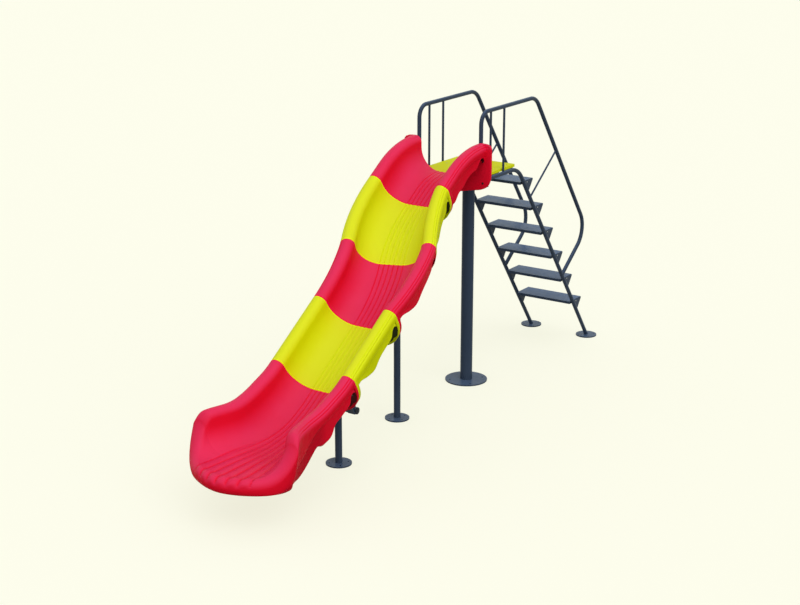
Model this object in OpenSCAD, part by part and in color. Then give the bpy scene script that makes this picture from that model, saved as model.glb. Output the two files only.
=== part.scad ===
// Pool slide with a stair, a small platform and a moulded chute that makes an S-bend on its way down.
// Frame: origin on the ground under the main post, +X towards the stair, +Z up, millimetres.

/* [Platform and stair] */
// Height of the platform surface above the ground
platform_h = 2081; // [1900:1:2200]
// Thickness of the platform panel
panel_t = 24; // [18:1:30]
// Distance of the platform's rear edge from the main post
panel_rear_x = 312; // [290:1:330]
// Distance of the entry flange's rear face from the main post
entry_x = 357; // [340:1:380]
// Distance between the axes of the two stringers
stair_w = 650; // [600:2:700]
// Outer diameter of stringer and handrail tubes
rail_d = 38; // [34:1:42]
// Level reach of the stringer's top corner behind the main post
stringer_corner_x = 335; // [325:1:360]
// Angle of the stringers from the horizontal, in degrees
stair_angle = 53.05; // [52:0.05:55]
// Bend radius at the top of the stringers, on the tube's axis
stringer_bend_r = 240; // [200:5:280]
// Number of treads
tread_count = 6; // [5:1:6]
// Height of the lowest tread
first_tread_h = 446; // [420:1:470]
// Height from the highest tread up to the platform surface
top_step = 195; // [180:1:250]
// Depth of a tread
tread_depth = 240; // [220:1:260]
// Sheet thickness of treads and gussets
sheet_t = 5; // [4:0.5:6]
// Height of a tread's folded front edge
tread_lip = 26; // [22:1:40]
// Diameter of the stringer foot plates
foot_d = 212; // [180:1:240]

/* [Handrail] */
// Height of the handrail's axis above the platform surface
handrail_h = 574; // [500:1:700]
// Level reach of the handrail's upper rear corner behind the main post
handrail_corner_x = 646; // [620:1:670]
// Height above the second tread at which the handrail's lower end meets the stringer
handrail_foot_h = 52; // [45:1:70]
// Bend radius of the upper handrail corners
handrail_bend_r = 110; // [80:5:140]
// Bend radius of the lower handrail corner
handrail_low_r = 222; // [180:2:260]
// Diameter of the balusters
baluster_d = 21.3; // [18:0.1:25]
// Position of the front balusters ahead of the main post
baluster_front_x = 170; // [150:1:200]
// Position of the rear balusters behind the main post
baluster_rear_x = 66; // [40:1:90]
// Diameter of the slanting braces
brace_d = 18; // [14:0.5:21]
// Height above the last tread but one at which a brace meets the stringer
brace_foot_h = 112; // [90:1:130]

/* [Posts] */
// Diameter of the main post
main_d = 114.3; // [100:0.1:130]
// Diameter of the main base plate
main_plate_d = 400; // [360:1:440]
// Bolt circle of the main base plate
main_pcd = 320; // [280:1:340]
// Hole diameter of the main base plate
main_hole_d = 18; // [14:0.5:22]
// Diameter of the chute support posts and cross bars
post_d = 60.3; // [55:0.1:65]
// Diameter of the base plates of the chute supports
post_plate_d = 220; // [190:1:240]
// Bolt circle of the small base plates
post_pcd = 160; // [145:1:170]
// Hole diameter of the small base plates
post_hole_d = 14; // [10:0.5:16]
// Thickness of all base plates
plate_t = 12; // [8:1:15]
// Length of the cross bars under the chute
bar_len = 384; // [340:2:420]
// Distance of a support post uphill of its joint, measured level
post_uphill = 236; // [225:1:250]
// Height of a cross bar's axis under the chute floor of its joint, measured plumb
bar_drop = 204; // [200:1:215]
// Sideways offset of the front support from the chute's middle
front_shift = 25; // [0:1:30]

/* [Chute] */
// Slope of the chute below the horizontal, in degrees
slope = 33.75; // [31:0.25:36]
// Level run of each middle section
section_run = 583; // [540:1:620]
// Turn of each bend section in plan, in degrees
bend = 22; // [16:0.5:25]
// Radius of the entry curve
entry_r = 605; // [560:5:650]
// Straight length after the entry curve
entry_straight = 178; // [150:1:200]
// Straight length before the exit curve
exit_straight = 92; // [70:1:120]
// Radius of the exit curve
exit_r = 1300; // [1200:10:1350]
// Level floor after the exit curve, up to the rounded nose
exit_level = 209; // [180:1:250]
// Length of the rounded nose
nose_len = 309; // [270:1:340]
// Widening of each side at the exit
exit_flare = 98; // [60:1:110]
// Half width of the chute from its middle to the crest of the rim
rim_y = 349; // [335:1:365]
// Radius of the rolled rim
rim_r = 64; // [58:1:70]
// Radius between floor and wall
wall_r = 210; // [200:1:220]
// Upright part of the wall between floor radius and rim
wall_v = 36; // [30:1:50]
// Extra rim height at the exit
exit_rise = 22; // [0:1:40]
// Thickness of the double wall under the floor
wall_t = 38; // [30:1:45]
// Height of the skirt's lower edge above the floor
skirt_h = 106; // [90:1:120]
// Height of the floor ribs
rib_h = 3; // [2:0.5:5]
// Distance between floor ribs
rib_pitch = 41; // [34:1:44]
// Radius of the half round joint flanges
flange_r = 408; // [400:1:415]
// Height of the flange centre above the floor
flange_h = 212; // [200:1:225]
// Thickness of each flange
flange_t = 30; // [24:1:36]
// Reach of the entry flange beyond the axis of a handrail post
ear_over = 130; // [110:1:140]
// Depth of the entry flange under the floor
ear_drop = 106; // [90:1:120]
// Thread diameter of the chute bolts
bolt_d = 10; // [8:1:12]

/* [Hidden] */
$fn = 64;
clearance = 0.3;
red = "#dc1e3c";
lime = "#d2d61e";
steel = "#3c4656";
zinc = "#b9bdc2";

// Chute path: a joint is [x, y, z, turn in plan, slope].
joint_gap = 0.3;
entry_arc = entry_r * slope * PI / 180;
exit_arc = exit_r * slope * PI / 180;
section_len = section_run / cos(slope);
bend_len = section_len - 2 * flange_t;
bend_r = bend_len * cos(slope) * 180 / (PI * bend);
start_len = flange_t + entry_arc + entry_straight;
exit_len = exit_straight + exit_arc + exit_level;

function smooth(t) = let (c = min(1, max(0, t))) c * c * (3 - 2 * c);
function ahead(j, d) = [j[0] - d * cos(j[3]) * cos(j[4]), j[1] - d * sin(j[3]) * cos(j[4]),
                        j[2] - d * sin(j[4]), j[3], j[4]];

function start_at(d) =
    let (g = min(max(0, d - flange_t), entry_arc) / entry_r * 180 / PI)
    ahead([-entry_x - min(d, flange_t) - entry_r * sin(g), 0, platform_h - entry_r * (1 - cos(g)), 0, g],
          max(0, d - flange_t - entry_arc));
function bend_out_at(d) =
    let (j = ahead(joint_1, min(d, flange_t)),
         turned = min(max(0, d - flange_t), bend_len),
         g = turned / bend_len * bend)
    ahead([j[0] - bend_r * sin(g), j[1] - bend_r * (1 - cos(g)), j[2] - turned * sin(slope), g, slope],
          max(0, d - flange_t - bend_len));
function bend_back_at(d) =
    let (j = ahead(joint_2, min(d, flange_t)),
         turned = min(max(0, d - flange_t), bend_len),
         g = bend - turned / bend_len * bend)
    ahead([j[0] - bend_r * (sin(bend) - sin(g)), j[1] - bend_r * (cos(g) - cos(bend)),
           j[2] - turned * sin(slope), g, slope],
          max(0, d - flange_t - bend_len));
function straight_at(d) = ahead(joint_3, d);
function exit_at(d) =
    let (j = ahead(joint_4, min(d, exit_straight)),
         turned = min(max(0, d - exit_straight), exit_arc),
         g = slope - turned / exit_r * 180 / PI)
    ahead([j[0] - exit_r * (sin(slope) - sin(g)), j[1], j[2] - exit_r * (cos(g) - cos(slope)), 0, g],
          max(0, d - exit_straight - exit_arc));

joint_1 = start_at(start_len);
joint_2 = bend_out_at(section_len);
joint_3 = bend_back_at(section_len);
joint_4 = straight_at(section_len);
joints = [joint_1, joint_2, joint_3, joint_4];

// Chute section shape. q runs outwards from the middle, n runs up from the floor.
// The wall is a hollow curve, an upright and the rolled rim, which all turn by the wall angle.
function rise(angle) = (wall_r + rim_r) * (1 - cos(angle)) + wall_v * sin(angle);
function reach(angle) = (wall_r + rim_r) * sin(angle) + wall_v * cos(angle);
function hollow(q, flat, r) = q <= flat ? 0 : r - sqrt(max(0, r * r - (q - flat) * (q - flat)));
function floor_n(q, flat) = hollow(q, flat, wall_r);
function belly_n(q, flat) = hollow(q, flat, wall_r + wall_t) - wall_t;

wall_steps = 5;
roll_steps = 8;
rib_count = 3;
rib_half = rib_pitch * 0.2;

// Upper half line: ribbed floor, wall and rolled rim. lift raises the rim, ear widens its outer half.
function upper(width, angle, lift, ear, ribs) =
    let (flat = width - reach(angle),
         last_q = (rib_count - 0.5) * rib_pitch + rib_half,
         fan = min(ribs[0], 0.85 * (flat + wall_r * sin(angle)) / last_q),
         first = asin(max(0, fan * last_q - flat) / wall_r),
         top = rise(angle) + lift)
    concat([[0, 0]],
           [for (k = [0 : rib_count - 1], s = [[-1, 0], [-0.5, 1], [0.5, 1], [1, 0]])
               let (q = fan * ((k + 0.5) * rib_pitch + s[0] * rib_half))
               [q, floor_n(q, flat) + s[1] * ribs[1]]],
           [for (i = [1 : wall_steps])
               let (g = first + (angle - first) * i / wall_steps)
               [flat + wall_r * sin(g), wall_r * (1 - cos(g))]],
           [for (i = [0 : roll_steps])
               let (g = -angle + (90 + angle) * i / roll_steps, side = g > 0 ? ear : 1)
               [width + rim_r * sin(g) * side, top - rim_r + rim_r * cos(g)]]);

// Lower half lines, all with the same number of points.
lower_steps = 8;
function lower_flange(width, centre, depth, power) =
    [for (i = [1 : lower_steps])
        let (g = 90 * i / lower_steps)
        [width * pow(cos(g), power), centre - depth * pow(sin(g), power)]];
skirt_taper = 0.16;
function lower_belly(width, angle, top, edge) =
    let (shoulder = top - rim_r,
         flat = width - reach(angle),
         outer = wall_r + wall_t,
         first = asin(min(1, max(0, (wall_r - edge) / outer))),
         side = width + rim_r - skirt_taper * (shoulder - edge))
    concat([[(side + width + rim_r) / 2, (shoulder + edge) / 2], [side, edge]],
           [for (i = [0 : lower_steps - 3])
               let (q = (flat + outer * cos(first)) * (1 - i / (lower_steps - 3)))
               [q, min(edge, belly_n(q, flat))]]);
function lower_nose(width, top, bottom) =
    let (shoulder = top - rim_r)
    concat([for (g = [30, 65, 90]) [width + rim_r * cos(g), shoulder - (shoulder - bottom) * sin(g)]],
           [for (i = [1 : lower_steps - 3]) [width * (1 - i / (lower_steps - 3)), bottom]]);

// Lower edge of the skirt: an arch beside each flange for the bolts, and one foot between them.
arch_rise = 56;
entry_arch_rise = 100;
arch_from = 85;
end_arch_from = 60;
arch_half = 75;
foot_drop = 38;
foot_share = 0.62;
foot_half = 80;
function hump(d, half) = exp(-pow(d / half, 2));
function skirt_edge(d, len, first_rise) = skirt_h
    + first_rise * hump(d - arch_from, arch_half)
    + arch_rise * hump(len - d - end_arch_from, arch_half)
    - foot_drop * hump(d - foot_share * len, foot_half);

// Puts a half line into space at a path place; hand is 1 for the left side and -1 for the right.
function placed(line, place, hand, turn) =
    let (p = place[3], g = place[4])
    [for (v = line)
        let (across = hand * v[0] * cos(turn), forward = v[0] * sin(turn))
        [place[0] - forward * cos(p) - across * sin(p) - v[1] * cos(p) * sin(g),
         place[1] - forward * sin(p) + across * cos(p) - v[1] * sin(p) * sin(g),
         place[2] + v[1] * cos(g)]];

draft = 0.5;
flange_stations = [0, flange_t, flange_t + draft];
arch_stations = [70, 105, 150, 205];
arch_end = arch_stations[len(arch_stations) - 1];
end_stations = [150, 105, 65];
middle_steps = 6;
function stations(length) = concat(flange_stations, arch_stations,
    [for (i = [1 : middle_steps - 1]) arch_end + (length - end_stations[0] - arch_end) * i / middle_steps],
    [for (d = end_stations) length - d],
    [for (i = [2 : -1 : 0]) length - flange_stations[i]]);

function half_line(d, len, first_flange) =
    let (at_start = d <= flange_t, at_end = d >= len - flange_t,
         ear = at_start ? first_flange[0] / rim_r : 1)
    concat(upper(rim_y, 90, 0, ear, [1, rib_h]),
           at_start ? first_flange[1] :
           at_end ? joint_flange[1] :
           lower_belly(rim_y, 90, rise(90), skirt_edge(d, len, first_flange[2])));

// Skin over half lines placed along the chute; both sides share the points on the middle line.
// A line is [points, place, turn]. With a nose, the last lines of both sides are the same one.
function bearing(v) = atan2(v[1] - flange_h, v[0]);
module skin(lines, nose) {
    m = len(lines) - 1;
    n = len(lines[0][0]) - 1;
    rim = n - lower_steps;
    base = (m + 1) * (n + 1);
    function at(i, j, hand) =
        let (middle = j == 0 || j == n, tip = nose && i == m)
        (hand < 0 && !middle && !tip ? base : 0) + (middle && tip ? m - 1 : i) * (n + 1) + j;
    function facing(hand, f) = hand > 0 ? f : [f[0], f[2], f[1]];
    sides = [for (i = [0 : m - 1], j = [0 : n - 1], hand = [1, -1])
        each [facing(hand, [at(i, j, hand), at(i + 1, j, hand), at(i + 1, j + 1, hand)]),
              facing(hand, [at(i, j, hand), at(i + 1, j + 1, hand), at(i, j + 1, hand)])]];
    function passed(v, j) = len([for (k = [1 : lower_steps - 1]) if (bearing(v[n - k]) <= bearing(v[j])) k]);
    function end_cap(i, hand) =
        let (v = lines[i][0])
        [for (j = [0 : rim])
            let (a = min(j + 1, rim),
                 low = passed(v, j), next = j < rim ? passed(v, a) : lower_steps - 1)
            each concat([facing(hand, [at(i, j, hand), at(i, a, hand), at(i, n - low, hand)])],
                        [for (k = [low : 1 : next - 1])
                            facing(hand, [at(i, a, hand), at(i, n - k - 1, hand), at(i, n - k, hand)])])];
    flipped = nose ? [] : [for (f = concat(end_cap(m, 1), end_cap(m, -1))) [f[0], f[2], f[1]]];
    polyhedron([for (hand = [1, -1], c = lines) each placed(c[0], c[1], hand, c[2])],
               [for (f = concat(sides, end_cap(0, 1), end_cap(0, -1), flipped))
                   if (f[0] != f[1] && f[1] != f[2] && f[2] != f[0]) f]);
}

joint_flange = [rim_r, lower_flange(flange_r, flange_h, flange_r, 1), arch_rise];
side_y = stair_w / 2;
ear_y = side_y + ear_over;
ear_centre = 200;
ear_power = 0.5;
entry_flange = [ear_y - rim_y, lower_flange(ear_y, ear_centre, ear_centre + ear_drop, ear_power),
                entry_arch_rise];

function gapped(d, len) = min(len - joint_gap / 2, max(joint_gap / 2, d));

module chute_section(kind, len, first_flange) {
    function place(d) = kind == 1 ? start_at(d) : kind == 2 ? bend_out_at(d) :
                        kind == 3 ? bend_back_at(d) : straight_at(d);
    skin([for (d = stations(len)) [half_line(d, len, first_flange), place(gapped(d, len)), 0]], false);
}

// Exit: the middle line goes on to the nose, and the lines fan out towards the lip.
// The wall leans out and the rim sinks to the lip. Both follow the nose's turn in degrees, which is
// counted on before the nose by the way that is left to it.
nose_steps = 12;
nose_share = 0.62;
nose_round = 1.4;
side_round = 1.2;
turn_per_mm = 0.3;
lean_lead = 18;
lean_span = 75;
sink_lead = 40;
sink_span = 60;
lip_angle = 8;
scallops = 7;
scallop_h = 5;
scallop_share = 1.5;
flare_len = 413;
rise_len = 350;
rib_fan = 0.7;
fan_from = 300;
fan_len = 600;
function exit_width(d) = rim_y + exit_flare * pow(max(0, d - exit_len + flare_len) / flare_len, 2);
nose_width = exit_width(exit_len);
function lean(turn) = smooth((turn + lean_lead) / lean_span);
function wall_angle(turn) = 90 - (90 - lip_angle) * lean(turn);
function rim_lift(d, turn) = exit_rise * smooth(d / rise_len) * (1 - smooth((turn + sink_lead) / sink_span));
function exit_line(d) =
    let (turn = (d - exit_len) * turn_per_mm, w = exit_width(d),
         fan = 1 + rib_fan * smooth((d - fan_from) / fan_len),
         angle = wall_angle(turn),
         lift = rim_lift(d, turn))
    concat(upper(w, angle, lift, 1, [fan, rib_h]),
           d <= flange_t ? joint_flange[1] :
           lower_belly(w, angle, rise(angle) + lift, exit_edge(d)));

// Lower edge of the exit's skirt: an arch, one broad foot, and the keel that drops to the level of the lip.
exit_foot_from = 495;
exit_foot_drop = 60;
keel_from = 560;
keel_len = 450;
keel_drop = 230;
function exit_edge(d) = skirt_h
    + arch_rise * hump(d - arch_from, arch_half)
    - exit_foot_drop * exp(-pow((d - exit_foot_from) / foot_half, 4))
    - keel_drop * smooth((d - keel_from) / keel_len);
rib_end = 15;
keel_end = 40;
function nose_line(g) =
    let (x = nose_len * pow(sin(g), nose_round), y = nose_width * pow(cos(g), side_round),
         foot = x * nose_share,
         w = norm([x - foot, y]),
         angle = wall_angle(g),
         wave = scallop_h * lean(g) * cos(360 * scallops * y / (scallop_share * nose_width)),
         lift = rim_lift(exit_len, g) + wave,
         top = rise(angle) + lift,
         keel = smooth(g / keel_end),
         belly = lower_belly(w, angle, top, exit_edge(exit_len)),
         lip = lower_nose(w, top, exit_edge(exit_len)))
    [concat(upper(w, angle, lift, 1, [1 + rib_fan, rib_h * (1 - smooth(g / rib_end))]),
            [for (i = [0 : lower_steps - 1]) belly[i] * (1 - keel) + lip[i] * keel]),
     ahead(exit_at(exit_len), foot), atan2(x - foot, y)];
exit_step = 50;
exit_last = exit_len - exit_step / 4;
exit_stations = concat(flange_stations, arch_stations,
                       [for (d = [arch_end + exit_step : exit_step : exit_last]) d], [exit_len]);

module exit_skin() {
    main = [for (d = exit_stations) [exit_line(d), exit_at(max(joint_gap / 2, d)), 0]];
    nose = [for (i = [1 : nose_steps]) nose_line(90 * i / nose_steps)];
    skin(concat(main, nose), true);
}

// Joint frame: x uphill along the path, y across, z square to the floor.
module at_joint(k) {
    j = joints[k - 1];
    translate([j[0], j[1], j[2]])
        rotate([0, -j[4], j[3]])
            children();
}

bolt_hole_d = bolt_d + 1;
bolt_circle = flange_r - 42;
bolt_places = [for (g = [-16, -66, -114, -164]) [bolt_circle * cos(g), flange_h + bolt_circle * sin(g)]];
module joint_holes(k) {
    at_joint(k)
        for (b = bolt_places)
            translate([-flange_t - 5, b[0], b[1]])
                rotate([0, 90, 0])
                    cylinder(d = bolt_hole_d, h = 2 * flange_t + 10);
}

// Bolt along +x: head under the start point, nut seated at the far end of the grip.
head_h = bolt_d * 0.65;
nut_h = bolt_d * 0.8;
hex_d = bolt_d * 1.9;
module bolt_and_nut(grip) {
    rotate([0, 90, 0]) {
        translate([0, 0, -head_h])
            cylinder(d = hex_d, h = head_h, $fn = 6);
        cylinder(d = bolt_d, h = grip + nut_h + 4);
        translate([0, 0, grip])
            difference() {
                cylinder(d = hex_d, h = nut_h, $fn = 6);
                translate([0, 0, -1])
                    cylinder(d = bolt_d + 2 * clearance, h = nut_h + 2);
            }
    }
}
// The two lower bolts of a joint with a support also hold the support brackets.
bracket_t = 8;
module joint_bolts(k, supported) {
    color(zinc)
        at_joint(k)
            for (i = [0 : len(bolt_places) - 1])
                let (plate = supported && (i == 1 || i == 2) ? bracket_t : 0)
                translate([-flange_t - draft, bolt_places[i][0], bolt_places[i][1]])
                    bolt_and_nut(2 * (flange_t + draft) + plate);
}
module joint_bolts_1() joint_bolts(1, false);
module joint_bolts_2() joint_bolts(2, true);
module joint_bolts_3() joint_bolts(3, false);
module joint_bolts_4() joint_bolts(4, true);

// Entry bolts hold the entry flange to a lug on each handrail post.
lug_t = 8;
lug_w = 80;
lug_h = 262;
lug_drop = 80;
lug_side = side_y + 51;
lug_bolt_drop = 45;
lug_bolt_rise = 150;
lug_y = side_y + 55;
lug_bolts_z = [platform_h - lug_bolt_drop, platform_h + lug_bolt_rise];
module entry_bolt_cut(d) {
    for (s = [-1, 1], z = lug_bolts_z)
        translate([-entry_x - flange_t - 5, s * lug_y, z])
            rotate([0, 90, 0])
                cylinder(d = d, h = flange_t + lug_t + 10);
}
module entry_bolts() {
    color(zinc)
        for (s = [-1, 1], z = lug_bolts_z)
            translate([-entry_x - flange_t - 2 * draft, s * lug_y, z])
                bolt_and_nut(flange_t + 2 * draft + lug_t);
}

module chute_start() {
    color(red)
        difference() {
            chute_section(1, start_len, entry_flange);
            joint_holes(1);
            entry_bolt_cut(bolt_hole_d);
        }
}
module chute_bend_out() {
    color(lime)
        difference() {
            chute_section(2, section_len, joint_flange);
            joint_holes(1);
            joint_holes(2);
        }
}
module chute_bend_back() {
    color(red)
        difference() {
            chute_section(3, section_len, joint_flange);
            joint_holes(2);
            joint_holes(3);
        }
}
module chute_straight() {
    color(lime)
        difference() {
            chute_section(4, section_len, joint_flange);
            joint_holes(3);
            joint_holes(4);
        }
}
module chute_exit() {
    color(red)
        difference() {
            exit_skin();
            joint_holes(4);
        }
}

// Straight rod in the plane y = 0 between two points [x, z].
module rod(a, b, d) {
    v = b - a;
    translate([a[0], 0, a[1]])
        rotate([0, atan2(v[0], v[1]), 0])
            cylinder(d = d, h = norm(v));
}
// Tube that runs up its own z axis and turns towards its own +x at each bend: [length, angle, radius].
// The bends are drawn a little thinner than the straight legs and reach a little way into them.
bend_thin = 0.3;
bend_lap = 2;
module bent_tube(legs, d, i = 0) {
    leg = legs[i];
    lap = i < len(legs) - 1 ? bend_lap / leg[2] * 180 / PI : 0;
    cylinder(d = d, h = leg[0]);
    if (i < len(legs) - 1)
        translate([leg[2], 0, leg[0]]) {
            rotate([90, 0, 0])
                rotate([0, 0, 180 - leg[1] - lap])
                    rotate_extrude(angle = leg[1] + 2 * lap)
                        translate([leg[2], 0])
                            circle(d = d - bend_thin);
            rotate([0, leg[1], 0])
                translate([-leg[2], 0, 0])
                    bent_tube(legs, d, i + 1);
        }
}
function setback(angle, r) = r * tan(angle / 2);

// Stringers: level along the platform's side, then down to the ground.
beam_h = rail_d;
run_z = platform_h - panel_t - rail_d / 2;
stair_run = 1 / tan(stair_angle);
function stringer_x(z) = stringer_corner_x + (run_z - z) * stair_run;
run_front = -entry_x + clearance;
stringer_back = setback(stair_angle, stringer_bend_r);
ground_over = 40;
stringer_legs = [[stringer_corner_x - run_front - stringer_back, stair_angle, stringer_bend_r],
                 [(run_z + ground_over) / sin(stair_angle) - stringer_back]];
module stringer_body(d)
    translate([run_front, 0, run_z])
        rotate([0, 90, 0])
            bent_tube(stringer_legs, d);
module run_cut(d)
    translate([run_front - rail_d, 0, run_z])
        rotate([0, 90, 0])
            cylinder(d = d, h = stringer_corner_x - run_front);
module slope_cut(d) rod([stringer_x(run_z), run_z], [stringer_x(-ground_over), -ground_over], d);

gusset_bolt_x = 90;
gusset_bolt_down = 17;
gusset_y = side_y - rail_d / 2;
tread_bolt_d = 8;
tread_ids = [1 : tread_count];
tread_rise = (platform_h - top_step - first_tread_h) / (tread_count - 1);
function tread_z(i) = first_tread_h + (i - 1) * tread_rise;

module stringer(s) {
    color(steel)
        difference() {
            translate([0, s * side_y, 0])
                stringer_body(rail_d);
            translate([stringer_x(0) - foot_d, s * side_y - foot_d / 2, plate_t - foot_d])
                cube([2 * foot_d, foot_d, foot_d]);
        }
}
module stringer_left() stringer(1);
module stringer_right() stringer(-1);

module base_plate(d, pcd, hole_d) {
    difference() {
        cylinder(d = d, h = plate_t);
        for (i = [0 : 3])
            rotate([0, 0, 45 + 90 * i])
                translate([pcd / 2, 0, -1])
                    cylinder(d = hole_d, h = plate_t + 2);
    }
}
module stringer_foot(s) {
    color(steel)
        translate([stringer_x(plate_t), s * side_y, 0])
            base_plate(foot_d, post_pcd, post_hole_d);
}
module stringer_foot_left() stringer_foot(1);
module stringer_foot_right() stringer_foot(-1);

// Gussets: triangular plates welded to the rear of a stringer, one under each tread end.
gusset_drop = 128;
gusset_rear = 205;
gusset_root = 12;
gusset_nose = [20, 30];
gusset_toe = 16;
tread_front = 30;
module gussets(s) {
    color(steel)
        difference() {
            for (i = tread_ids)
                let (z = tread_z(i) - sheet_t - clearance, x = stringer_x(z))
                translate([x, s * (gusset_y + sheet_t / 2) + sheet_t / 2, z])
                    rotate([90, 0, 0])
                        linear_extrude(sheet_t)
                            polygon([[gusset_root, -gusset_root], [gusset_root, 0], [gusset_rear, 0],
                                     [gusset_rear - gusset_nose[0], -gusset_nose[1]],
                                     [gusset_drop * stair_run + gusset_toe, -gusset_drop],
                                     [gusset_drop * stair_run, -gusset_drop]]);
            translate([0, s * side_y, 0])
                slope_cut(rail_d + 2 * clearance);
            tread_bolt_cut(tread_bolt_d + 1);
        }
}
module gussets_left() gussets(1);
module gussets_right() gussets(-1);

function tread_bolt(i, y) = [stringer_x(tread_z(i)) + gusset_bolt_x, y, tread_z(i) - gusset_bolt_down];
module tread_bolt_cut(d) {
    for (i = tread_ids, s = [-1, 1])
        translate(tread_bolt(i, s * (gusset_y - 2 * sheet_t)))
            rotate([-90 * s, 0, 0])
                cylinder(d = d, h = 4 * sheet_t);
}
module tread_bolts() {
    color(zinc)
        for (i = tread_ids, s = [-1, 1])
            translate(tread_bolt(i, s * (gusset_y + sheet_t)))
                rotate([90 * s, 0, 0])
                    rotate([0, -90, 0])
                        scale(tread_bolt_d / bolt_d)
                            bolt_and_nut((2 * sheet_t + clearance) * bolt_d / tread_bolt_d);
}

// Tread: folded sheet with a front and a rear lip and a flange at each end.
module tread(i) {
    half_w = gusset_y - clearance;
    color(steel)
        if (i <= tread_count)
            difference() {
                translate([stringer_x(tread_z(i)) - tread_front, -half_w, tread_z(i) - tread_lip])
                    difference() {
                        cube([tread_depth, 2 * half_w, tread_lip]);
                        translate([sheet_t, sheet_t, -sheet_t])
                            cube([tread_depth - 2 * sheet_t, 2 * half_w - 2 * sheet_t, tread_lip]);
                    }
                tread_bolt_cut(tread_bolt_d + 1);
            }
}
module tread_1() tread(1);
module tread_2() tread(2);
module tread_3() tread(3);
module tread_4() tread(4);
module tread_5() tread(5);
module tread_6() tread(6);

// Handrail: up from the run, along the platform, down beside the stair and back to the stringer.
rail_z = platform_h + handrail_h;
rail_gap = (handrail_corner_x - stringer_corner_x + (rail_z - run_z) * stair_run) * sin(stair_angle);
function rail_over(z) = [stringer_x(z), z] + rail_gap * [sin(stair_angle), cos(stair_angle)];
handrail_x = entry_x - rail_d / 2;
handrail_foot = tread_z(2) + handrail_foot_h;
handrail_low = rail_over(handrail_foot);
post_back = setback(90, handrail_bend_r);
top_back = setback(stair_angle, handrail_bend_r);
low_back = setback(90, handrail_low_r);
handrail_legs = [[rail_z - run_z - post_back, 90, handrail_bend_r],
                 [handrail_corner_x + handrail_x - post_back - top_back, stair_angle, handrail_bend_r],
                 [(rail_z - handrail_low[1]) / sin(stair_angle) - top_back - low_back, 90, handrail_low_r],
                 [rail_gap - low_back]];
module handrail_body(d)
    translate([-handrail_x, 0, run_z])
        bent_tube(handrail_legs, d);
module handrail_cut(d) rod([handrail_corner_x, rail_z], handrail_low, d);
module handrail(s) {
    color(steel)
        translate([0, s * side_y, 0])
            difference() {
                handrail_body(rail_d);
                run_cut(rail_d + 2 * clearance);
                slope_cut(rail_d + 2 * clearance);
            }
}
module handrail_left() handrail(1);
module handrail_right() handrail(-1);

module baluster(x, s) {
    color(steel)
        translate([x, s * side_y, 0])
            difference() {
                translate([0, 0, run_z])
                    cylinder(d = baluster_d, h = rail_z - run_z);
                for (z = [run_z, rail_z])
                    translate([-rail_d, 0, z])
                        rotate([0, 90, 0])
                            cylinder(d = rail_d + 2 * clearance, h = 2 * rail_d);
            }
}
module baluster_front_left() baluster(-baluster_front_x, 1);
module baluster_front_right() baluster(-baluster_front_x, -1);
module baluster_rear_left() baluster(baluster_rear_x, 1);
module baluster_rear_right() baluster(baluster_rear_x, -1);

// Brace: square across from the stringer to the sloping part of the handrail.
brace_foot = tread_z(tread_count - 1) + brace_foot_h;
module brace(s) {
    color(steel)
        translate([0, s * side_y, 0])
            difference() {
                rod([stringer_x(brace_foot), brace_foot], rail_over(brace_foot), brace_d);
                slope_cut(rail_d + 2 * clearance);
                handrail_cut(rail_d + 2 * clearance);
            }
}
module brace_left() brace(1);
module brace_right() brace(-1);

module entry_lug(s) {
    color(steel)
        difference() {
            translate([-entry_x + clearance, lug_side * s - lug_w / 2, platform_h - lug_drop])
                cube([lug_t - clearance, lug_w, lug_h]);
            translate([-handrail_x, s * side_y, 0])
                cylinder(d = rail_d + 2 * clearance, h = rail_z);
            translate([0, s * side_y, 0])
                run_cut(rail_d + 2 * clearance);
            entry_bolt_cut(bolt_hole_d);
        }
}
module entry_lug_left() entry_lug(1);
module entry_lug_right() entry_lug(-1);

// Platform: three beams between the runs, a panel screwed to them, and the main post below.
beam_w = 50;
beam_inset = 60;
beam_x = [-entry_x + beam_inset, 0, panel_rear_x - beam_inset];
beam_half = side_y - rail_d / 2 - clearance;
module platform_beam(k) {
    color(steel)
        difference() {
            translate([beam_x[k] - beam_w / 2, -beam_half, run_z - beam_h / 2])
                cube([beam_w, 2 * beam_half, beam_h]);
            panel_screw_cut(panel_screw_d);
        }
}
module platform_beam_front() platform_beam(0);
module platform_beam_middle() platform_beam(1);
module platform_beam_rear() platform_beam(2);

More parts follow.
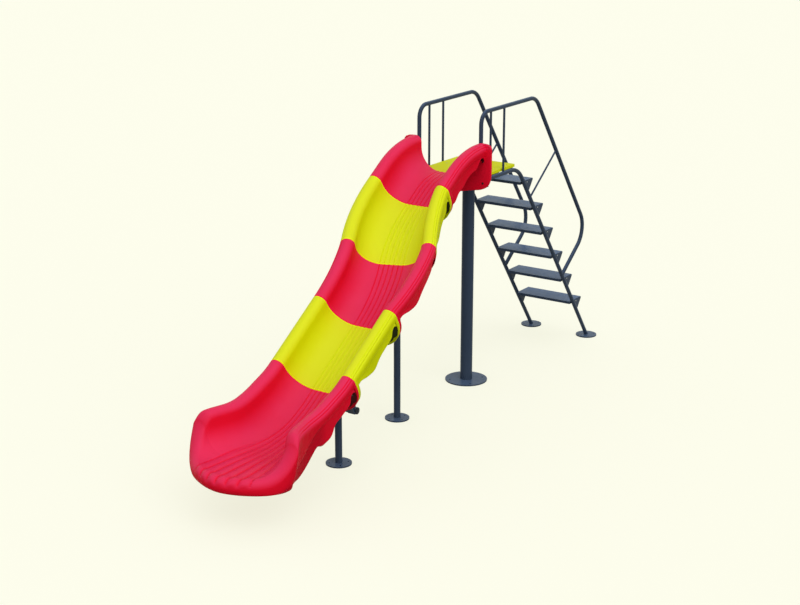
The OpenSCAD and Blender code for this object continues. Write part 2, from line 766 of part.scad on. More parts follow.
panel_gap = 2;
panel_half = side_y - baluster_d / 2 - panel_gap;
panel_corner_r = 20;
panel_front = -entry_x + rail_d + 2 * clearance;
panel_screw_d = 8;
panel_screw_y = 240;
screw_head_d = 16;
screw_head_h = 3;
screw_sink = 4;
screw_seat_d = 18;
screw_bite = 8;
module panel_screw_cut(d) {
    for (x = beam_x, s = [-1, 1])
        translate([x, s * panel_screw_y, run_z - screw_bite])
            cylinder(d = d + 2 * clearance, h = platform_h - run_z + screw_bite);
}
module platform_panel() {
    front_half = side_y - rail_d / 2 - clearance;
    corner_y = panel_half - panel_corner_r;
    color(lime)
        difference() {
            union() {
                translate([panel_front, -panel_half, platform_h - panel_t])
                    cube([panel_rear_x - panel_corner_r - panel_front, 2 * panel_half, panel_t]);
                translate([-entry_x + clearance, -front_half, platform_h - panel_t])
                    cube([panel_front + entry_x, 2 * front_half, panel_t]);
                translate([panel_rear_x - 2 * panel_corner_r, -corner_y, platform_h - panel_t])
                    cube([2 * panel_corner_r, 2 * corner_y, panel_t]);
                for (s = [-1, 1])
                    translate([panel_rear_x - panel_corner_r, s * corner_y, platform_h - panel_t])
                        cylinder(r = panel_corner_r, h = panel_t);
            }
            panel_screw_cut(panel_screw_d);
            for (x = beam_x, s = [-1, 1])
                translate([x, s * panel_screw_y, platform_h - screw_sink])
                    cylinder(d = screw_seat_d, h = 2 * screw_sink);
        }
}
module panel_screws() {
    color(zinc)
        for (x = beam_x, s = [-1, 1])
            translate([x, s * panel_screw_y, 0]) {
                translate([0, 0, run_z - screw_bite])
                    cylinder(d = panel_screw_d, h = platform_h - screw_sink - run_z + screw_bite);
                translate([0, 0, platform_h - screw_sink])
                    cylinder(d = screw_head_d, h = screw_head_h);
            }
}

head_plate_t = 10;
head_plate_w = 200;
main_top = run_z - beam_h / 2 - head_plate_t;
module main_post() {
    color(steel)
        translate([0, 0, plate_t])
            cylinder(d = main_d, h = main_top - plate_t);
}
module main_base_plate() {
    color(steel)
        base_plate(main_plate_d, main_pcd, main_hole_d);
}
module main_head_plate() {
    color(steel)
        translate([-head_plate_w / 2, -head_plate_w / 2, main_top])
            cube([head_plate_w, head_plate_w, head_plate_t]);
}

// Chute supports under joints 2 and 4: plate, post, cross bar and a bracket on each side.
// In the support frame x runs uphill in plan from the joint's floor point, y across, z up from the ground.
module at_support(k) {
    j = joints[k - 1];
    translate([j[0], j[1], 0])
        rotate([0, 0, j[3]])
            translate([post_uphill, k == 4 ? front_shift : 0, 0])
                children();
}
function bar_z(k) = joints[k - 1][2] - bar_drop;
module support_plate(k) {
    color(steel)
        at_support(k)
            base_plate(post_plate_d, post_pcd, post_hole_d);
}
module support_bar_body(k, d, len) {
    at_support(k)
        translate([0, -len / 2, bar_z(k)])
            rotate([-90, 0, 0])
                cylinder(d = d, h = len);
}
module support_post(k) {
    color(steel)
        difference() {
            at_support(k)
                translate([0, 0, plate_t])
                    cylinder(d = post_d, h = bar_z(k) - plate_t);
            support_bar_body(k, post_d + 2 * clearance, bar_len);
        }
}
module support_bar(k) {
    color(steel)
        support_bar_body(k, post_d, bar_len);
}
bracket_y = bolt_places[1][0];
bracket_w = 70;
bracket_over = 40;
bracket_under = 20;
web_drop = 70;
web_tip = [25, 40];
bracket_top = bolt_places[1][1] + bracket_over;
bar_s = post_uphill * cos(slope) - bar_drop * sin(slope);
bar_n = -post_uphill * sin(slope) - bar_drop * cos(slope);
module support_bracket(k, s) {
    bottom = bar_n + bracket_under;
    seat = flange_t + draft;
    color(steel)
        difference() {
            at_joint(k)
                union() {
                    translate([seat, s * bracket_y - bracket_w / 2, bottom])
                        cube([bracket_t, bracket_w, bracket_top - bottom]);
                    translate([0, s * bracket_y + bracket_t / 2, 0])
                        rotate([90, 0, 0])
                            linear_extrude(bracket_t)
                                polygon([[seat + bracket_t, bracket_top - web_drop],
                                         [seat + bracket_t, bottom], [bar_s, bar_n],
                                         [bar_s + web_tip[0], bar_n + web_tip[1]]]);
                }
            support_bar_body(k, post_d + 2 * clearance, 2 * bar_len);
            joint_holes_long(k);
        }
}
module joint_holes_long(k) {
    at_joint(k)
        for (b = bolt_places)
            translate([0, b[0], b[1]])
                rotate([0, 90, 0])
                    cylinder(d = bolt_hole_d, h = flange_t + bracket_t + 5);
}
module mid_base_plate() support_plate(2);
module mid_post() support_post(2);
module mid_cross_bar() support_bar(2);
module mid_bracket_left() support_bracket(2, 1);
module mid_bracket_right() support_bracket(2, -1);
module front_base_plate() support_plate(4);
module front_post() support_post(4);
module front_cross_bar() support_bar(4);
module front_bracket_left() support_bracket(4, 1);
module front_bracket_right() support_bracket(4, -1);

// Domed plugs in the ends of the cross bars.
cap_t = 3;
cap_dome_r = 50;
module bar_caps() {
    color("#20242b")
        for (k = [2, 4], s = [-1, 1])
            at_support(k)
                translate([0, s * bar_len / 2, bar_z(k)])
                    rotate([-90 * s, 0, 0])
                        intersection() {
                            cylinder(d = post_d, h = cap_dome_r);
                            translate([0, 0, cap_t - sqrt(cap_dome_r * cap_dome_r - post_d * post_d / 4)])
                                sphere(r = cap_dome_r);
                        }
}

chute_start();
chute_bend_out();
chute_bend_back();
chute_straight();
chute_exit();
joint_bolts_1();
joint_bolts_2();
joint_bolts_3();
joint_bolts_4();
entry_bolts();
entry_lug_left();
entry_lug_right();
main_post();
main_base_plate();
main_head_plate();
platform_beam_front();
platform_beam_middle();
platform_beam_rear();
platform_panel();
panel_screws();
stringer_left();
stringer_right();
stringer_foot_left();
stringer_foot_right();
gussets_left();
gussets_right();
tread_1();
tread_2();
tread_3();
tread_4();
tread_5();
tread_6();
tread_bolts();
handrail_left();
handrail_right();
baluster_front_left();
baluster_front_right();
baluster_rear_left();
baluster_rear_right();
brace_left();
brace_right();
mid_base_plate();
mid_post();
mid_cross_bar();
mid_bracket_left();
mid_bracket_right();
front_base_plate();
front_post();
front_cross_bar();
front_bracket_left();
front_bracket_right();
bar_caps();
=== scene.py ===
# %% [markdown]
# # Pool slide
# The slide has a steel stair and platform, and a chute bolted together from moulded sections.
# The measured solids come in first as a fixed frame. Everything made here sits in that frame, in metres,
# so no piece needs to be fitted by eye.

# %% Load the frame
from math import asin, atan2, cos, exp, floor, hypot, pi, radians, sin, sqrt, tan
import bpy
from mathutils import Matrix, Vector


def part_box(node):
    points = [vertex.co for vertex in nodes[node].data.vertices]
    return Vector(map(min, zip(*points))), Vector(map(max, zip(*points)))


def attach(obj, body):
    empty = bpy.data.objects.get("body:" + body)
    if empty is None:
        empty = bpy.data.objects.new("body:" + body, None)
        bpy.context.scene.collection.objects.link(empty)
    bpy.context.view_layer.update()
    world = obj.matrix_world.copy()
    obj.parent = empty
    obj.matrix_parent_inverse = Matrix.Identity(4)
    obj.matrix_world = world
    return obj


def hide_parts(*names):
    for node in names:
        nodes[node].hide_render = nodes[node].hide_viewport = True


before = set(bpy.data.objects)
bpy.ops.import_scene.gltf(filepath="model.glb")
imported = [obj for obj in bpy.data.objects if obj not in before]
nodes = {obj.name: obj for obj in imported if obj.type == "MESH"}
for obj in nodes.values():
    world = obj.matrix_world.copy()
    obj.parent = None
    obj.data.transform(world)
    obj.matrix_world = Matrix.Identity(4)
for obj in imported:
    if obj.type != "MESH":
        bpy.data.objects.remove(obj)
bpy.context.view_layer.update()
print("frame holds", len(nodes), "nodes")

# %% [markdown]
# ## Camera
# The picture was taken from beside the exit and a little from above, with a short telephoto lens.
# A camera could be aimed by hand, but a small error would show as a tilt. So the picture's right, up and
# viewing directions, worked out from straight tubes and treads, become the columns of its matrix.

# %% Camera
IMAGE_W = 800
focal_px = 1591.046
right = Vector((0.554037, -0.832492, 0.000438))
up = Vector((0.243318, 0.162436, 0.956248))
view = Vector((0.796140, 0.529691, -0.292556))
eye = Vector((-12.2917, -7.4183, 5.1559))


def new_object(name, data):
    made = bpy.data.objects.new(name, data)
    bpy.context.scene.collection.objects.link(made)
    return made


camera_data = bpy.data.cameras.new("photo_camera")
camera_data.sensor_fit = "HORIZONTAL"
camera_data.sensor_width = 36.0
camera_data.lens = focal_px / IMAGE_W * camera_data.sensor_width
camera_data.clip_end = 500.0
camera = new_object("photo_camera", camera_data)
rows = [(right[k], up[k], -view[k], eye[k]) for k in range(3)]
camera.matrix_world = Matrix(rows + [(0, 0, 0, 1)])
bpy.context.scene.camera = camera
print("lens", round(camera_data.lens, 2), "mm")

# %% [markdown]
# ## Helpers for materials
# Colours are written as sRGB hex values, as a paint chart gives them, and Blender wants them linear.
# One small function adds every node in this file: it sets the node's options and links its inputs.
# Patterns are sized in millimetres, and Blender wants to know how often they repeat in a metre.

# %% Material helpers
def linear(hex_colour):
    parts = [int(hex_colour[i:i + 2], 16) / 255 for i in (1, 3, 5)]
    return tuple(c / 12.92 if c <= 0.04045 else ((c + 0.055) / 1.055) ** 2.4 for c in parts) + (1.0,)


def add(tree, kind, inputs=None, **settings):
    """An input is a plain value, one output of a node, a node for its first output, or a list of nodes."""
    made = tree.nodes.new(kind)
    for key, value in settings.items():
        setattr(made, key, value)
    for key, value in (inputs or {}).items():
        for source in value if isinstance(value, list) else [value]:
            if isinstance(source, bpy.types.Node):
                source = next(output for output in source.outputs if output.enabled)
            if isinstance(source, bpy.types.NodeSocket):
                tree.links.new(source, made.inputs[key])
            else:
                made.inputs[key].default_value = source
    return made


def new_material(name):
    made = bpy.data.materials.new(name)
    made.use_nodes = True
    made.node_tree.nodes.clear()
    return made, made.node_tree


def per_metre(size_mm):
    return 1000.0 / size_mm


print("1 mm pattern scale", per_metre(1.0))

# %% [markdown]
# ## Moulded polyethylene
# The chute is rotationally moulded polyethylene. Powder melts on the inside of a turning mould, so the
# outside takes the mould's fine orange-peel skin, and the colour runs through with faint cloudy patches.
# The meshes carry five attributes for wear and painted light. Faces that look up at the sky get a paler
# painted highlight, riding has polished the floor, ribs, rim grooves and the lobes' valleys get a deeper
# painted shade, the rounded ends of each section get a bright painted highlight, and painted shade darkens
# the pockets beside the flanges and the exit's lower hull. The sides are duller than the tops, which keeps
# their colour full.
# These marks could also be put on an image. Attributes need none, and they follow the form by themselves.

# %% Polyethylene
CLOUD_MM, SMEAR_MM = 260.0, 90.0
# Real orange peel is about 2 mm wide. It is drawn coarser, so that it shows at this distance.
PEEL_MM, PEEL_DEPTH = 7.0, 0.0005
ROUGH_PLAIN, ROUGH_RIDDEN, ROUGH_SMEAR = 0.42, 0.34, 0.12
SHEEN_SIDE, SHEEN_TOP = 0.01, 0.1


def polyethylene(name, deep, top_highlight, line_shade, end_highlight, shaded):
    made, tree = new_material(name)
    place = add(tree, "ShaderNodeTexCoord").outputs["Object"]
    wear_and_light = {label: add(tree, "ShaderNodeAttribute", attribute_name=label).outputs["Fac"]
            for label in ("sky", "ride", "lines", "edge", "grime")}
    patches = add(tree, "ShaderNodeTexNoise", {"Vector": place, "Scale": per_metre(CLOUD_MM), "Detail": 3.0})
    cloudy = add(tree, "ShaderNodeMapRange",
                 {"Value": patches, "From Min": 0.3, "From Max": 0.7, "To Min": 0.8, "To Max": 1.0})
    # The paler tone on faces that look up is a painted highlight.
    fade = add(tree, "ShaderNodeMath", {0: wear_and_light["sky"], 1: cloudy}, operation="MULTIPLY")
    colour = add(tree, "ShaderNodeMix", {"Factor": fade, "A": linear(deep), "B": linear(top_highlight)},
                 data_type="RGBA")
    # Over that: painted shade along ribs, rim grooves and lobe valleys, a painted highlight at the sections'
    # ends, and painted shade in the pockets and under the exit's hull.
    for label, tone in (("lines", line_shade), ("edge", end_highlight), ("grime", shaded)):
        colour = add(tree, "ShaderNodeMix", {"Factor": wear_and_light[label], "A": colour, "B": linear(tone)},
                     data_type="RGBA")
    gloss = add(tree, "ShaderNodeMapRange",
                {"Value": wear_and_light["ride"], "To Min": ROUGH_PLAIN, "To Max": ROUGH_RIDDEN})
    smear = add(tree, "ShaderNodeTexNoise", {"Vector": place, "Scale": per_metre(SMEAR_MM), "Detail": 5.0})
    uneven = add(tree, "ShaderNodeMath", {0: smear, 1: ROUGH_SMEAR, 2: gloss}, operation="MULTIPLY_ADD")
    peel = add(tree, "ShaderNodeTexNoise", {"Vector": place, "Scale": per_metre(PEEL_MM), "Detail": 2.0})
    bump = add(tree, "ShaderNodeBump", {"Height": peel, "Strength": 0.08, "Distance": PEEL_DEPTH})
    sheen = add(tree, "ShaderNodeMapRange", {"Value": wear_and_light["sky"], "To Min": SHEEN_SIDE, "To Max": SHEEN_TOP})
    shader = add(tree, "ShaderNodeBsdfPrincipled",
                 {"Base Color": colour, "Roughness": uneven, "Normal": bump, "IOR": 1.51,
                  "Specular IOR Level": sheen})
    add(tree, "ShaderNodeOutputMaterial", {"Surface": shader})
    return made


# A full red with a pink painted highlight on top, a deeper painted shade along the lines, and nearly black
# painted shade in the pockets.
red_polyethylene = polyethylene("red_polyethylene", "#de0e28", "#e02d5a", "#e4002e", "#ee1648", "#52060f")
# A sharp lime with a milky painted highlight on top, and a bright painted highlight at each joint.
lime_polyethylene = polyethylene("lime_polyethylene", "#d2da04", "#dae020", "#d8e400", "#e4fa10", "#333a0a")
print("moulded finishes", red_polyethylene.name, lime_polyethylene.name)

# %% [markdown]
# ## Powder-coated steel
# The tubes and plates are welded steel, coated with a slate powder that melts to a satin skin.
# It shows a fine pebbled texture and slightly uneven gloss, and dust dulls it near the ground. Faces that
# look up get a paler, bluer painted highlight, the treads' the bluest. Dust comes from height and the painted
# highlight from direction, so that one finish serves every tube and plate.

# %% Powder coat
DUST_MM, DUST_HEIGHT, DUST_MOST = 60.0, 0.35, 0.35
# Real pebbles are about 1 mm wide. They are drawn coarser, so that they show from close by.
PEBBLE_MM, PEBBLE_DEPTH = 2.5, 0.0003
COAT_SMOOTH, COAT_ROUGH, COAT_SHEEN = 0.28, 0.4, 0.07


def powder_coat(name, colour, highlight_tone, dusty):
    made, tree = new_material(name)
    place = add(tree, "ShaderNodeTexCoord").outputs["Object"]
    height = add(tree, "ShaderNodeSeparateXYZ", {"Vector": place}).outputs["Z"]
    low = add(tree, "ShaderNodeMapRange",
              {"Value": height, "From Max": DUST_HEIGHT, "To Min": DUST_MOST, "To Max": 0.0})
    patches = add(tree, "ShaderNodeTexNoise", {"Vector": place, "Scale": per_metre(DUST_MM), "Detail": 5.0})
    dust = add(tree, "ShaderNodeMath", {0: low, 1: patches}, operation="MULTIPLY")
    normal = add(tree, "ShaderNodeNewGeometry").outputs["Normal"]
    upward = add(tree, "ShaderNodeSeparateXYZ", {"Vector": normal}).outputs["Z"]
    # Faces that look up get a paler, bluer painted highlight.
    highlight_mask = add(tree, "ShaderNodeMapRange", {"Value": upward, "From Min": 0.5, "From Max": 1.0})
    highlighted = add(tree, "ShaderNodeMix", {"Factor": highlight_mask, "A": linear(colour), "B": linear(highlight_tone)},
               data_type="RGBA")
    mixed = add(tree, "ShaderNodeMix", {"Factor": dust, "A": highlighted, "B": linear(dusty)}, data_type="RGBA")
    rough = add(tree, "ShaderNodeMapRange", {"Value": patches, "From Min": 0.3, "From Max": 0.7,
                                             "To Min": COAT_SMOOTH, "To Max": COAT_ROUGH})
    pebbles = add(tree, "ShaderNodeTexNoise", {"Vector": place, "Scale": per_metre(PEBBLE_MM), "Detail": 1.0})
    bump = add(tree, "ShaderNodeBump", {"Height": pebbles, "Strength": 0.12, "Distance": PEBBLE_DEPTH})
    shader = add(tree, "ShaderNodeBsdfPrincipled",
                 {"Base Color": mixed, "Roughness": rough, "Normal": bump, "IOR": 1.5,
                  "Specular IOR Level": COAT_SHEEN})
    add(tree, "ShaderNodeOutputMaterial", {"Surface": shader})
    return made


# A dark slate blue with a satin skin, and a paler painted highlight on faces that look up.
slate_powder_coat = powder_coat("slate_powder_coat", "#303d50", "#4a5d7a", "#4a5766")
# The same coat with a paler, bluer painted highlight on top, for the treads.
tread_highlight_coat = powder_coat("tread_highlight_powder_coat", "#303d50", "#486288", "#4a5766")
print("coated finishes", slate_powder_coat.name, tread_highlight_coat.name)

# %% [markdown]
# ## Zinc, panel board and end plugs
# Bolts are zinc plated: a grey metal with a crystalline spangle, painted dark on the chute as the shade of
# its pockets.
# The platform is a sheet of polyethylene board with a grained, non-slip face. The bar ends are closed with
# plugs of black polyethylene. All are small in the picture, so one pattern each is enough.

# %% Small finishes
SPANGLE_MM = 5.0
# Real grain is about 1 mm wide, and it is drawn coarser too.
BOARD_GRAIN_MM, PLUG_GRAIN_MM, GRAIN_DEPTH = 6.0, 3.0, 0.0006


def zinc_plate(name, light, dark):
    made, tree = new_material(name)
    place = add(tree, "ShaderNodeTexCoord").outputs["Object"]
    spangle = add(tree, "ShaderNodeTexVoronoi", {"Vector": place, "Scale": per_metre(SPANGLE_MM)})
    tint = add(tree, "ShaderNodeMix", {"Factor": spangle, "A": linear(light), "B": linear(dark)},
               data_type="RGBA")
    rough = add(tree, "ShaderNodeMapRange", {"Value": spangle, "To Min": 0.28, "To Max": 0.45})
    shader = add(tree, "ShaderNodeBsdfPrincipled", {"Base Color": tint, "Metallic": 1.0, "Roughness": rough})
    add(tree, "ShaderNodeOutputMaterial", {"Surface": shader})
    return made


def grained_plastic(name, colour, darker, grain_mm, roughness):
    made, tree = new_material(name)
    place = add(tree, "ShaderNodeTexCoord").outputs["Object"]
    grain = add(tree, "ShaderNodeTexNoise", {"Vector": place, "Scale": per_metre(grain_mm), "Detail": 3.0})
    tint = add(tree, "ShaderNodeMix", {"Factor": grain, "A": linear(colour), "B": linear(darker)},
               data_type="RGBA")
    bump = add(tree, "ShaderNodeBump", {"Height": grain, "Strength": 0.25, "Distance": GRAIN_DEPTH})
    shader = add(tree, "ShaderNodeBsdfPrincipled",
                 {"Base Color": tint, "Roughness": roughness, "Normal": bump, "Specular IOR Level": 0.1})
    add(tree, "ShaderNodeOutputMaterial", {"Surface": shader})
    return made


# A pale grey that glints at the stair, and a nearly black one, painted shade for the chute's pockets.
zinc_plated_steel = zinc_plate("zinc_plated_steel", "#a8adb2", "#868c92")
painted_shade_zinc = zinc_plate("painted_shade_zinc", "#34373a", "#26292c")
# A lime face without any gloss, and a soft black.
lime_board = grained_plastic("lime_polyethylene_board", "#dae006", "#cfd504", BOARD_GRAIN_MM, 0.6)
black_plug = grained_plastic("black_polyethylene_plug", "#20242b", "#2c313a", PLUG_GRAIN_MM, 0.45)
print("small finishes", zinc_plated_steel.name, painted_shade_zinc.name, lime_board.name, black_plug.name)

# %% [markdown]
# ## The chute's path
# The chute starts level at the platform, bends down to a constant slope, steps sideways through an
# S-bend of two sections, runs straight and levels out at the exit.
# A curve object could carry the path, but its twist is hard to hold in an S-bend. A function gives the exact
# place at any distance: its position, its turn in plan and its slope. Sizes are in millimetres here, and are
# turned to metres when the mesh is made.

# %% Chute path
PLATFORM_H = 2081.0
ENTRY_X = 357.0
SLOPE = radians(33.75)
BEND = radians(22.0)
SECTION_RUN = 583.0
ENTRY_R = 605.0
ENTRY_STRAIGHT = 178.0
EXIT_STRAIGHT = 92.0
EXIT_R = 1300.0
EXIT_LEVEL = 209.0
FLANGE_T = 30.0
section_len = SECTION_RUN / cos(SLOPE)
entry_arc = ENTRY_R * SLOPE
exit_arc = EXIT_R * SLOPE
bend_len = section_len - 2 * FLANGE_T
bend_r = bend_len * cos(SLOPE) / BEND
start_len = FLANGE_T + entry_arc + ENTRY_STRAIGHT
exit_len = EXIT_STRAIGHT + exit_arc + EXIT_LEVEL


def clamp(value, low, high):
    return max(low, min(high, value))


def ahead(place, d):
    x, y, z, turn, fall = place
    return (x - d * cos(turn) * cos(fall), y - d * sin(turn) * cos(fall), z - d * sin(fall), turn, fall)


def start_at(d):
    g = clamp(d - FLANGE_T, 0, entry_arc) / ENTRY_R
    curve = (-ENTRY_X - min(d, FLANGE_T) - ENTRY_R * sin(g), 0.0,
             PLATFORM_H - ENTRY_R * (1 - cos(g)), 0.0, g)
    return ahead(curve, max(0, d - FLANGE_T - entry_arc))


def bend_at(begin, from_turn, to_turn):
    """The path of a section that turns in plan between its two straight flanges."""
    def at(d):
        x, y, z, _, _ = ahead(begin, min(d, FLANGE_T))
        gone = clamp(d - FLANGE_T, 0, bend_len)
        g = from_turn + (to_turn - from_turn) * gone / bend_len
        sign = 1 if to_turn > from_turn else -1
        curve = (x - sign * bend_r * (sin(g) - sin(from_turn)),
                 y - sign * bend_r * (cos(from_turn) - cos(g)),
                 z - gone * sin(SLOPE), g, SLOPE)
        return ahead(curve, max(0, d - FLANGE_T - bend_len))
    return at


joint_1 = start_at(start_len)
bend_out_at = bend_at(joint_1, 0.0, BEND)
joint_2 = bend_out_at(section_len)
bend_back_at = bend_at(joint_2, BEND, 0.0)
joint_3 = bend_back_at(section_len)


def straight_at(d):
    return ahead(joint_3, d)


joint_4 = straight_at(section_len)


def exit_at(d):
    x, y, z, _, _ = ahead(joint_4, min(d, EXIT_STRAIGHT))
    g = SLOPE - clamp(d - EXIT_STRAIGHT, 0, exit_arc) / EXIT_R
    curve = (x - EXIT_R * (sin(SLOPE) - sin(g)), y, z - EXIT_R * (cos(g) - cos(SLOPE)), 0.0, g)
    return ahead(curve, max(0, d - EXIT_STRAIGHT - exit_arc))


joints = (joint_1, joint_2, joint_3, joint_4)
print("joint floor points", [tuple(round(v) for v in j[:3]) for j in joints])

# %% [markdown]
# ## The chute's upper line
# Half of the section is enough, because the other half is its mirror image. The upper half line runs from
# the middle of the floor up the hollow wall and over the rolled rim. It could be a fixed profile, but the
# exit widens and leans, so a function draws the line anew for each place.

# %% Upper line
RIM_Y, RIM_R, WALL_R, WALL_V = 349.0, 64.0, 210.0, 36.0
RIB_PITCH, RIB_COUNT, RIBBED_MOST, EAR_ROUND = 41.0, 3, 0.85, 0.6
RIB_STEPS, CURVE_STEPS, UPRIGHT_STEPS, ROLL_STEPS = 60, 18, 3, 44


def smooth(t):
    t = clamp(t, 0.0, 1.0)
    return t * t * (3 - 2 * t)


def rise(angle):
    """How high the rim's crest stands over the floor, when the wall turns up by this angle."""
    return (WALL_R + RIM_R) * (1 - cos(angle)) + WALL_V * sin(angle)


def reach(angle):
    """How far the middle of the rim lies outside the flat of the floor."""
    return (WALL_R + RIM_R) * sin(angle) + WALL_V * cos(angle)


def between(a, b, t):
    return (a[0] + (b[0] - a[0]) * t, a[1] + (b[1] - a[1]) * t)


def upper_line(width, angle, lift, ear, fan):
    """The floor, the hollow wall and the rolled rim. An ear above one widens the rim to a flange's ear."""
    flat = width - reach(angle)
    hollow = flat + WALL_R * angle
    ribbed = min(fan * RIB_PITCH * RIB_COUNT, RIBBED_MOST * hollow)
    crest = rise(angle) + lift

    def on_hollow(s):
        g = max(0.0, s - flat) / WALL_R
        return (min(s, flat) + WALL_R * sin(g), WALL_R * (1 - cos(g)))

    line = [on_hollow(ribbed * i / RIB_STEPS) for i in range(RIB_STEPS + 1)]
    line += [on_hollow(ribbed + (hollow - ribbed) * i / CURVE_STEPS) for i in range(1, CURVE_STEPS + 1)]
    roll = []
    for i in range(ROLL_STEPS + 1):
        g = -angle + (pi / 2 + angle) * i / ROLL_STEPS
        if ear > 1.0 and g > 0:
            across, over = ear * sin(g) ** EAR_ROUND, max(0.0, cos(g)) ** EAR_ROUND
        else:
            across, over = sin(g), cos(g)
        roll.append((width + RIM_R * across, crest - RIM_R + RIM_R * over))
    foot = line[-1]
    line += [between(foot, roll[0], i / (UPRIGHT_STEPS + 1)) for i in range(1, UPRIGHT_STEPS + 1)]
    return line + roll


half = upper_line(RIM_Y, pi / 2, 0.0, 1.0, 1.0)
print("rim crest", round(rise(pi / 2)), "mm over the floor, upper line of", len(half), "points")

# %% [markdown]
# ## The chute's lower lines
# The lower half line goes on from the rim. On a flange it is part of an oval. Elsewhere it runs down the
# skirt, which has a crease, around a soft corner and back under the floor. All lower lines have the same
# number of points, so that any two can be joined.

# %% Lower lines
WALL_T, SKIRT_TAPER, SKIRT_SOFT, SOFT_MOST = 38.0, 0.16, 14.0, 0.45
CREASE, CREASE_FROM, CREASE_LEN, CREASE_FADE = 6.0, 34.0, 9.0, 40.0
HULL_RECESS, HULL_ROLL, HULL_ROLL_LEN = 10.0, 8.0, 70.0
# The skirt's steps lie above its crease, in it and below it.
ABOVE_STEPS, CREASE_STEPS, BELOW_STEPS = 5, 4, 5
SKIRT_STEPS = ABOVE_STEPS + CREASE_STEPS + BELOW_STEPS
CORNER_STEPS, SOLE_STEPS, BELLY_STEPS = 4, 3, 24
LOWER_STEPS = SKIRT_STEPS + CORNER_STEPS + SOLE_STEPS + BELLY_STEPS


def lower_flange(width, centre, depth, power):
    turns = [pi / 2 * i / LOWER_STEPS for i in range(1, LOWER_STEPS)]
    return [(width * cos(g) ** power, centre - depth * sin(g) ** power) for g in turns] \
        + [(0.0, centre - depth)]


def belly_n(q, flat):
    outer = WALL_R + WALL_T
    return WALL_R - sqrt(max(0.0, outer * outer - max(0.0, q - flat) ** 2))


def lower_belly(width, angle, crest, edge, soft=SKIRT_SOFT, split=0.0):
    """The skirt, its lower corner and the belly. The share split sets how deep the skirt's crease lies."""
    shoulder = crest - RIM_R
    flat = width - reach(angle)
    outer = WALL_R + WALL_T
    first = asin(clamp((WALL_R - edge) / outer, 0.0, 1.0))
    inner = flat + outer * cos(first)
    depth = shoulder - edge
    rim, side = width + RIM_R, width + RIM_R - SKIRT_TAPER * depth
    soft = min(soft, SOFT_MOST * depth)
    set_back = (HULL_RECESS + HULL_ROLL) * split
    crease_at = CREASE_FROM + split * depth
    crease_end = crease_at + CREASE_LEN
    drops = [crease_at * i / ABOVE_STEPS for i in range(1, ABOVE_STEPS + 1)]
    drops += [crease_at + CREASE_LEN * i / CREASE_STEPS for i in range(1, CREASE_STEPS + 1)]
    drops += [crease_end + (depth - soft - crease_end) * i / BELOW_STEPS for i in range(1, BELOW_STEPS + 1)]
    skirt = []
    for drop in drops:
        q, n = between((rim, shoulder), (side, edge), drop / depth)
        past = smooth((drop - crease_at) / CREASE_LEN)
        step = CREASE * past * smooth((depth - drop) / CREASE_FADE) + HULL_RECESS * split * past
        step += HULL_ROLL * split * clamp((drop - crease_at) / HULL_ROLL_LEN + 1.0, 0.0, 1.0) ** 2
        skirt.append((q - step, n))
    turns = [pi / 2 * i / CORNER_STEPS for i in range(1, CORNER_STEPS + 1)]
    corner = [(side - set_back - soft * (1 - cos(g)), edge + soft * (1 - sin(g))) for g in turns]
    sole = [between(corner[-1], (inner, edge), i / SOLE_STEPS) for i in range(1, SOLE_STEPS + 1)]
    belly = []
    for i in range(1, BELLY_STEPS + 1):
        q = inner * (1 - i / BELLY_STEPS)
        belly.append((q, min(edge, belly_n(q, flat))))
    return skirt + corner + sole + belly


print("lower line of", LOWER_STEPS, "points")

# %% [markdown]
# ## From lines to a closed skin
# A sweep along a curve keeps one profile, and this chute's changes all the way. So lines at stations along
# the path are joined into quads, and each end is closed with one face.
# Smooth shading is kept off edges that turn sharply, such as the step from a flange to the skirt.

# %% Skin builder
MM = 0.001
SKIN_SHARP, SKY_LEAD = radians(42), 0.2
WEAR_AND_PAINTED_LIGHT = ("ride", "edge", "grime", "lines", "sky")


def placed(v, place, hand, turn):
    """A point v[0] across and v[1] up from the path, in metres. On the nose, its turn swings it forward."""
    x, y, z, p, g = place
    across, forward = hand * v[0] * cos(turn), v[0] * sin(turn)
    return Vector((x - forward * cos(p) - across * sin(p) - v[1] * cos(p) * sin(g),
                   y - forward * sin(p) + across * cos(p) - v[1] * sin(p) * sin(g),
                   z + v[1] * cos(g))) * MM


def soften(mesh, sharp_angle):
    mesh.polygons.foreach_set("use_smooth", [True] * len(mesh.polygons))
    mesh.set_sharp_from_angle(angle=sharp_angle)


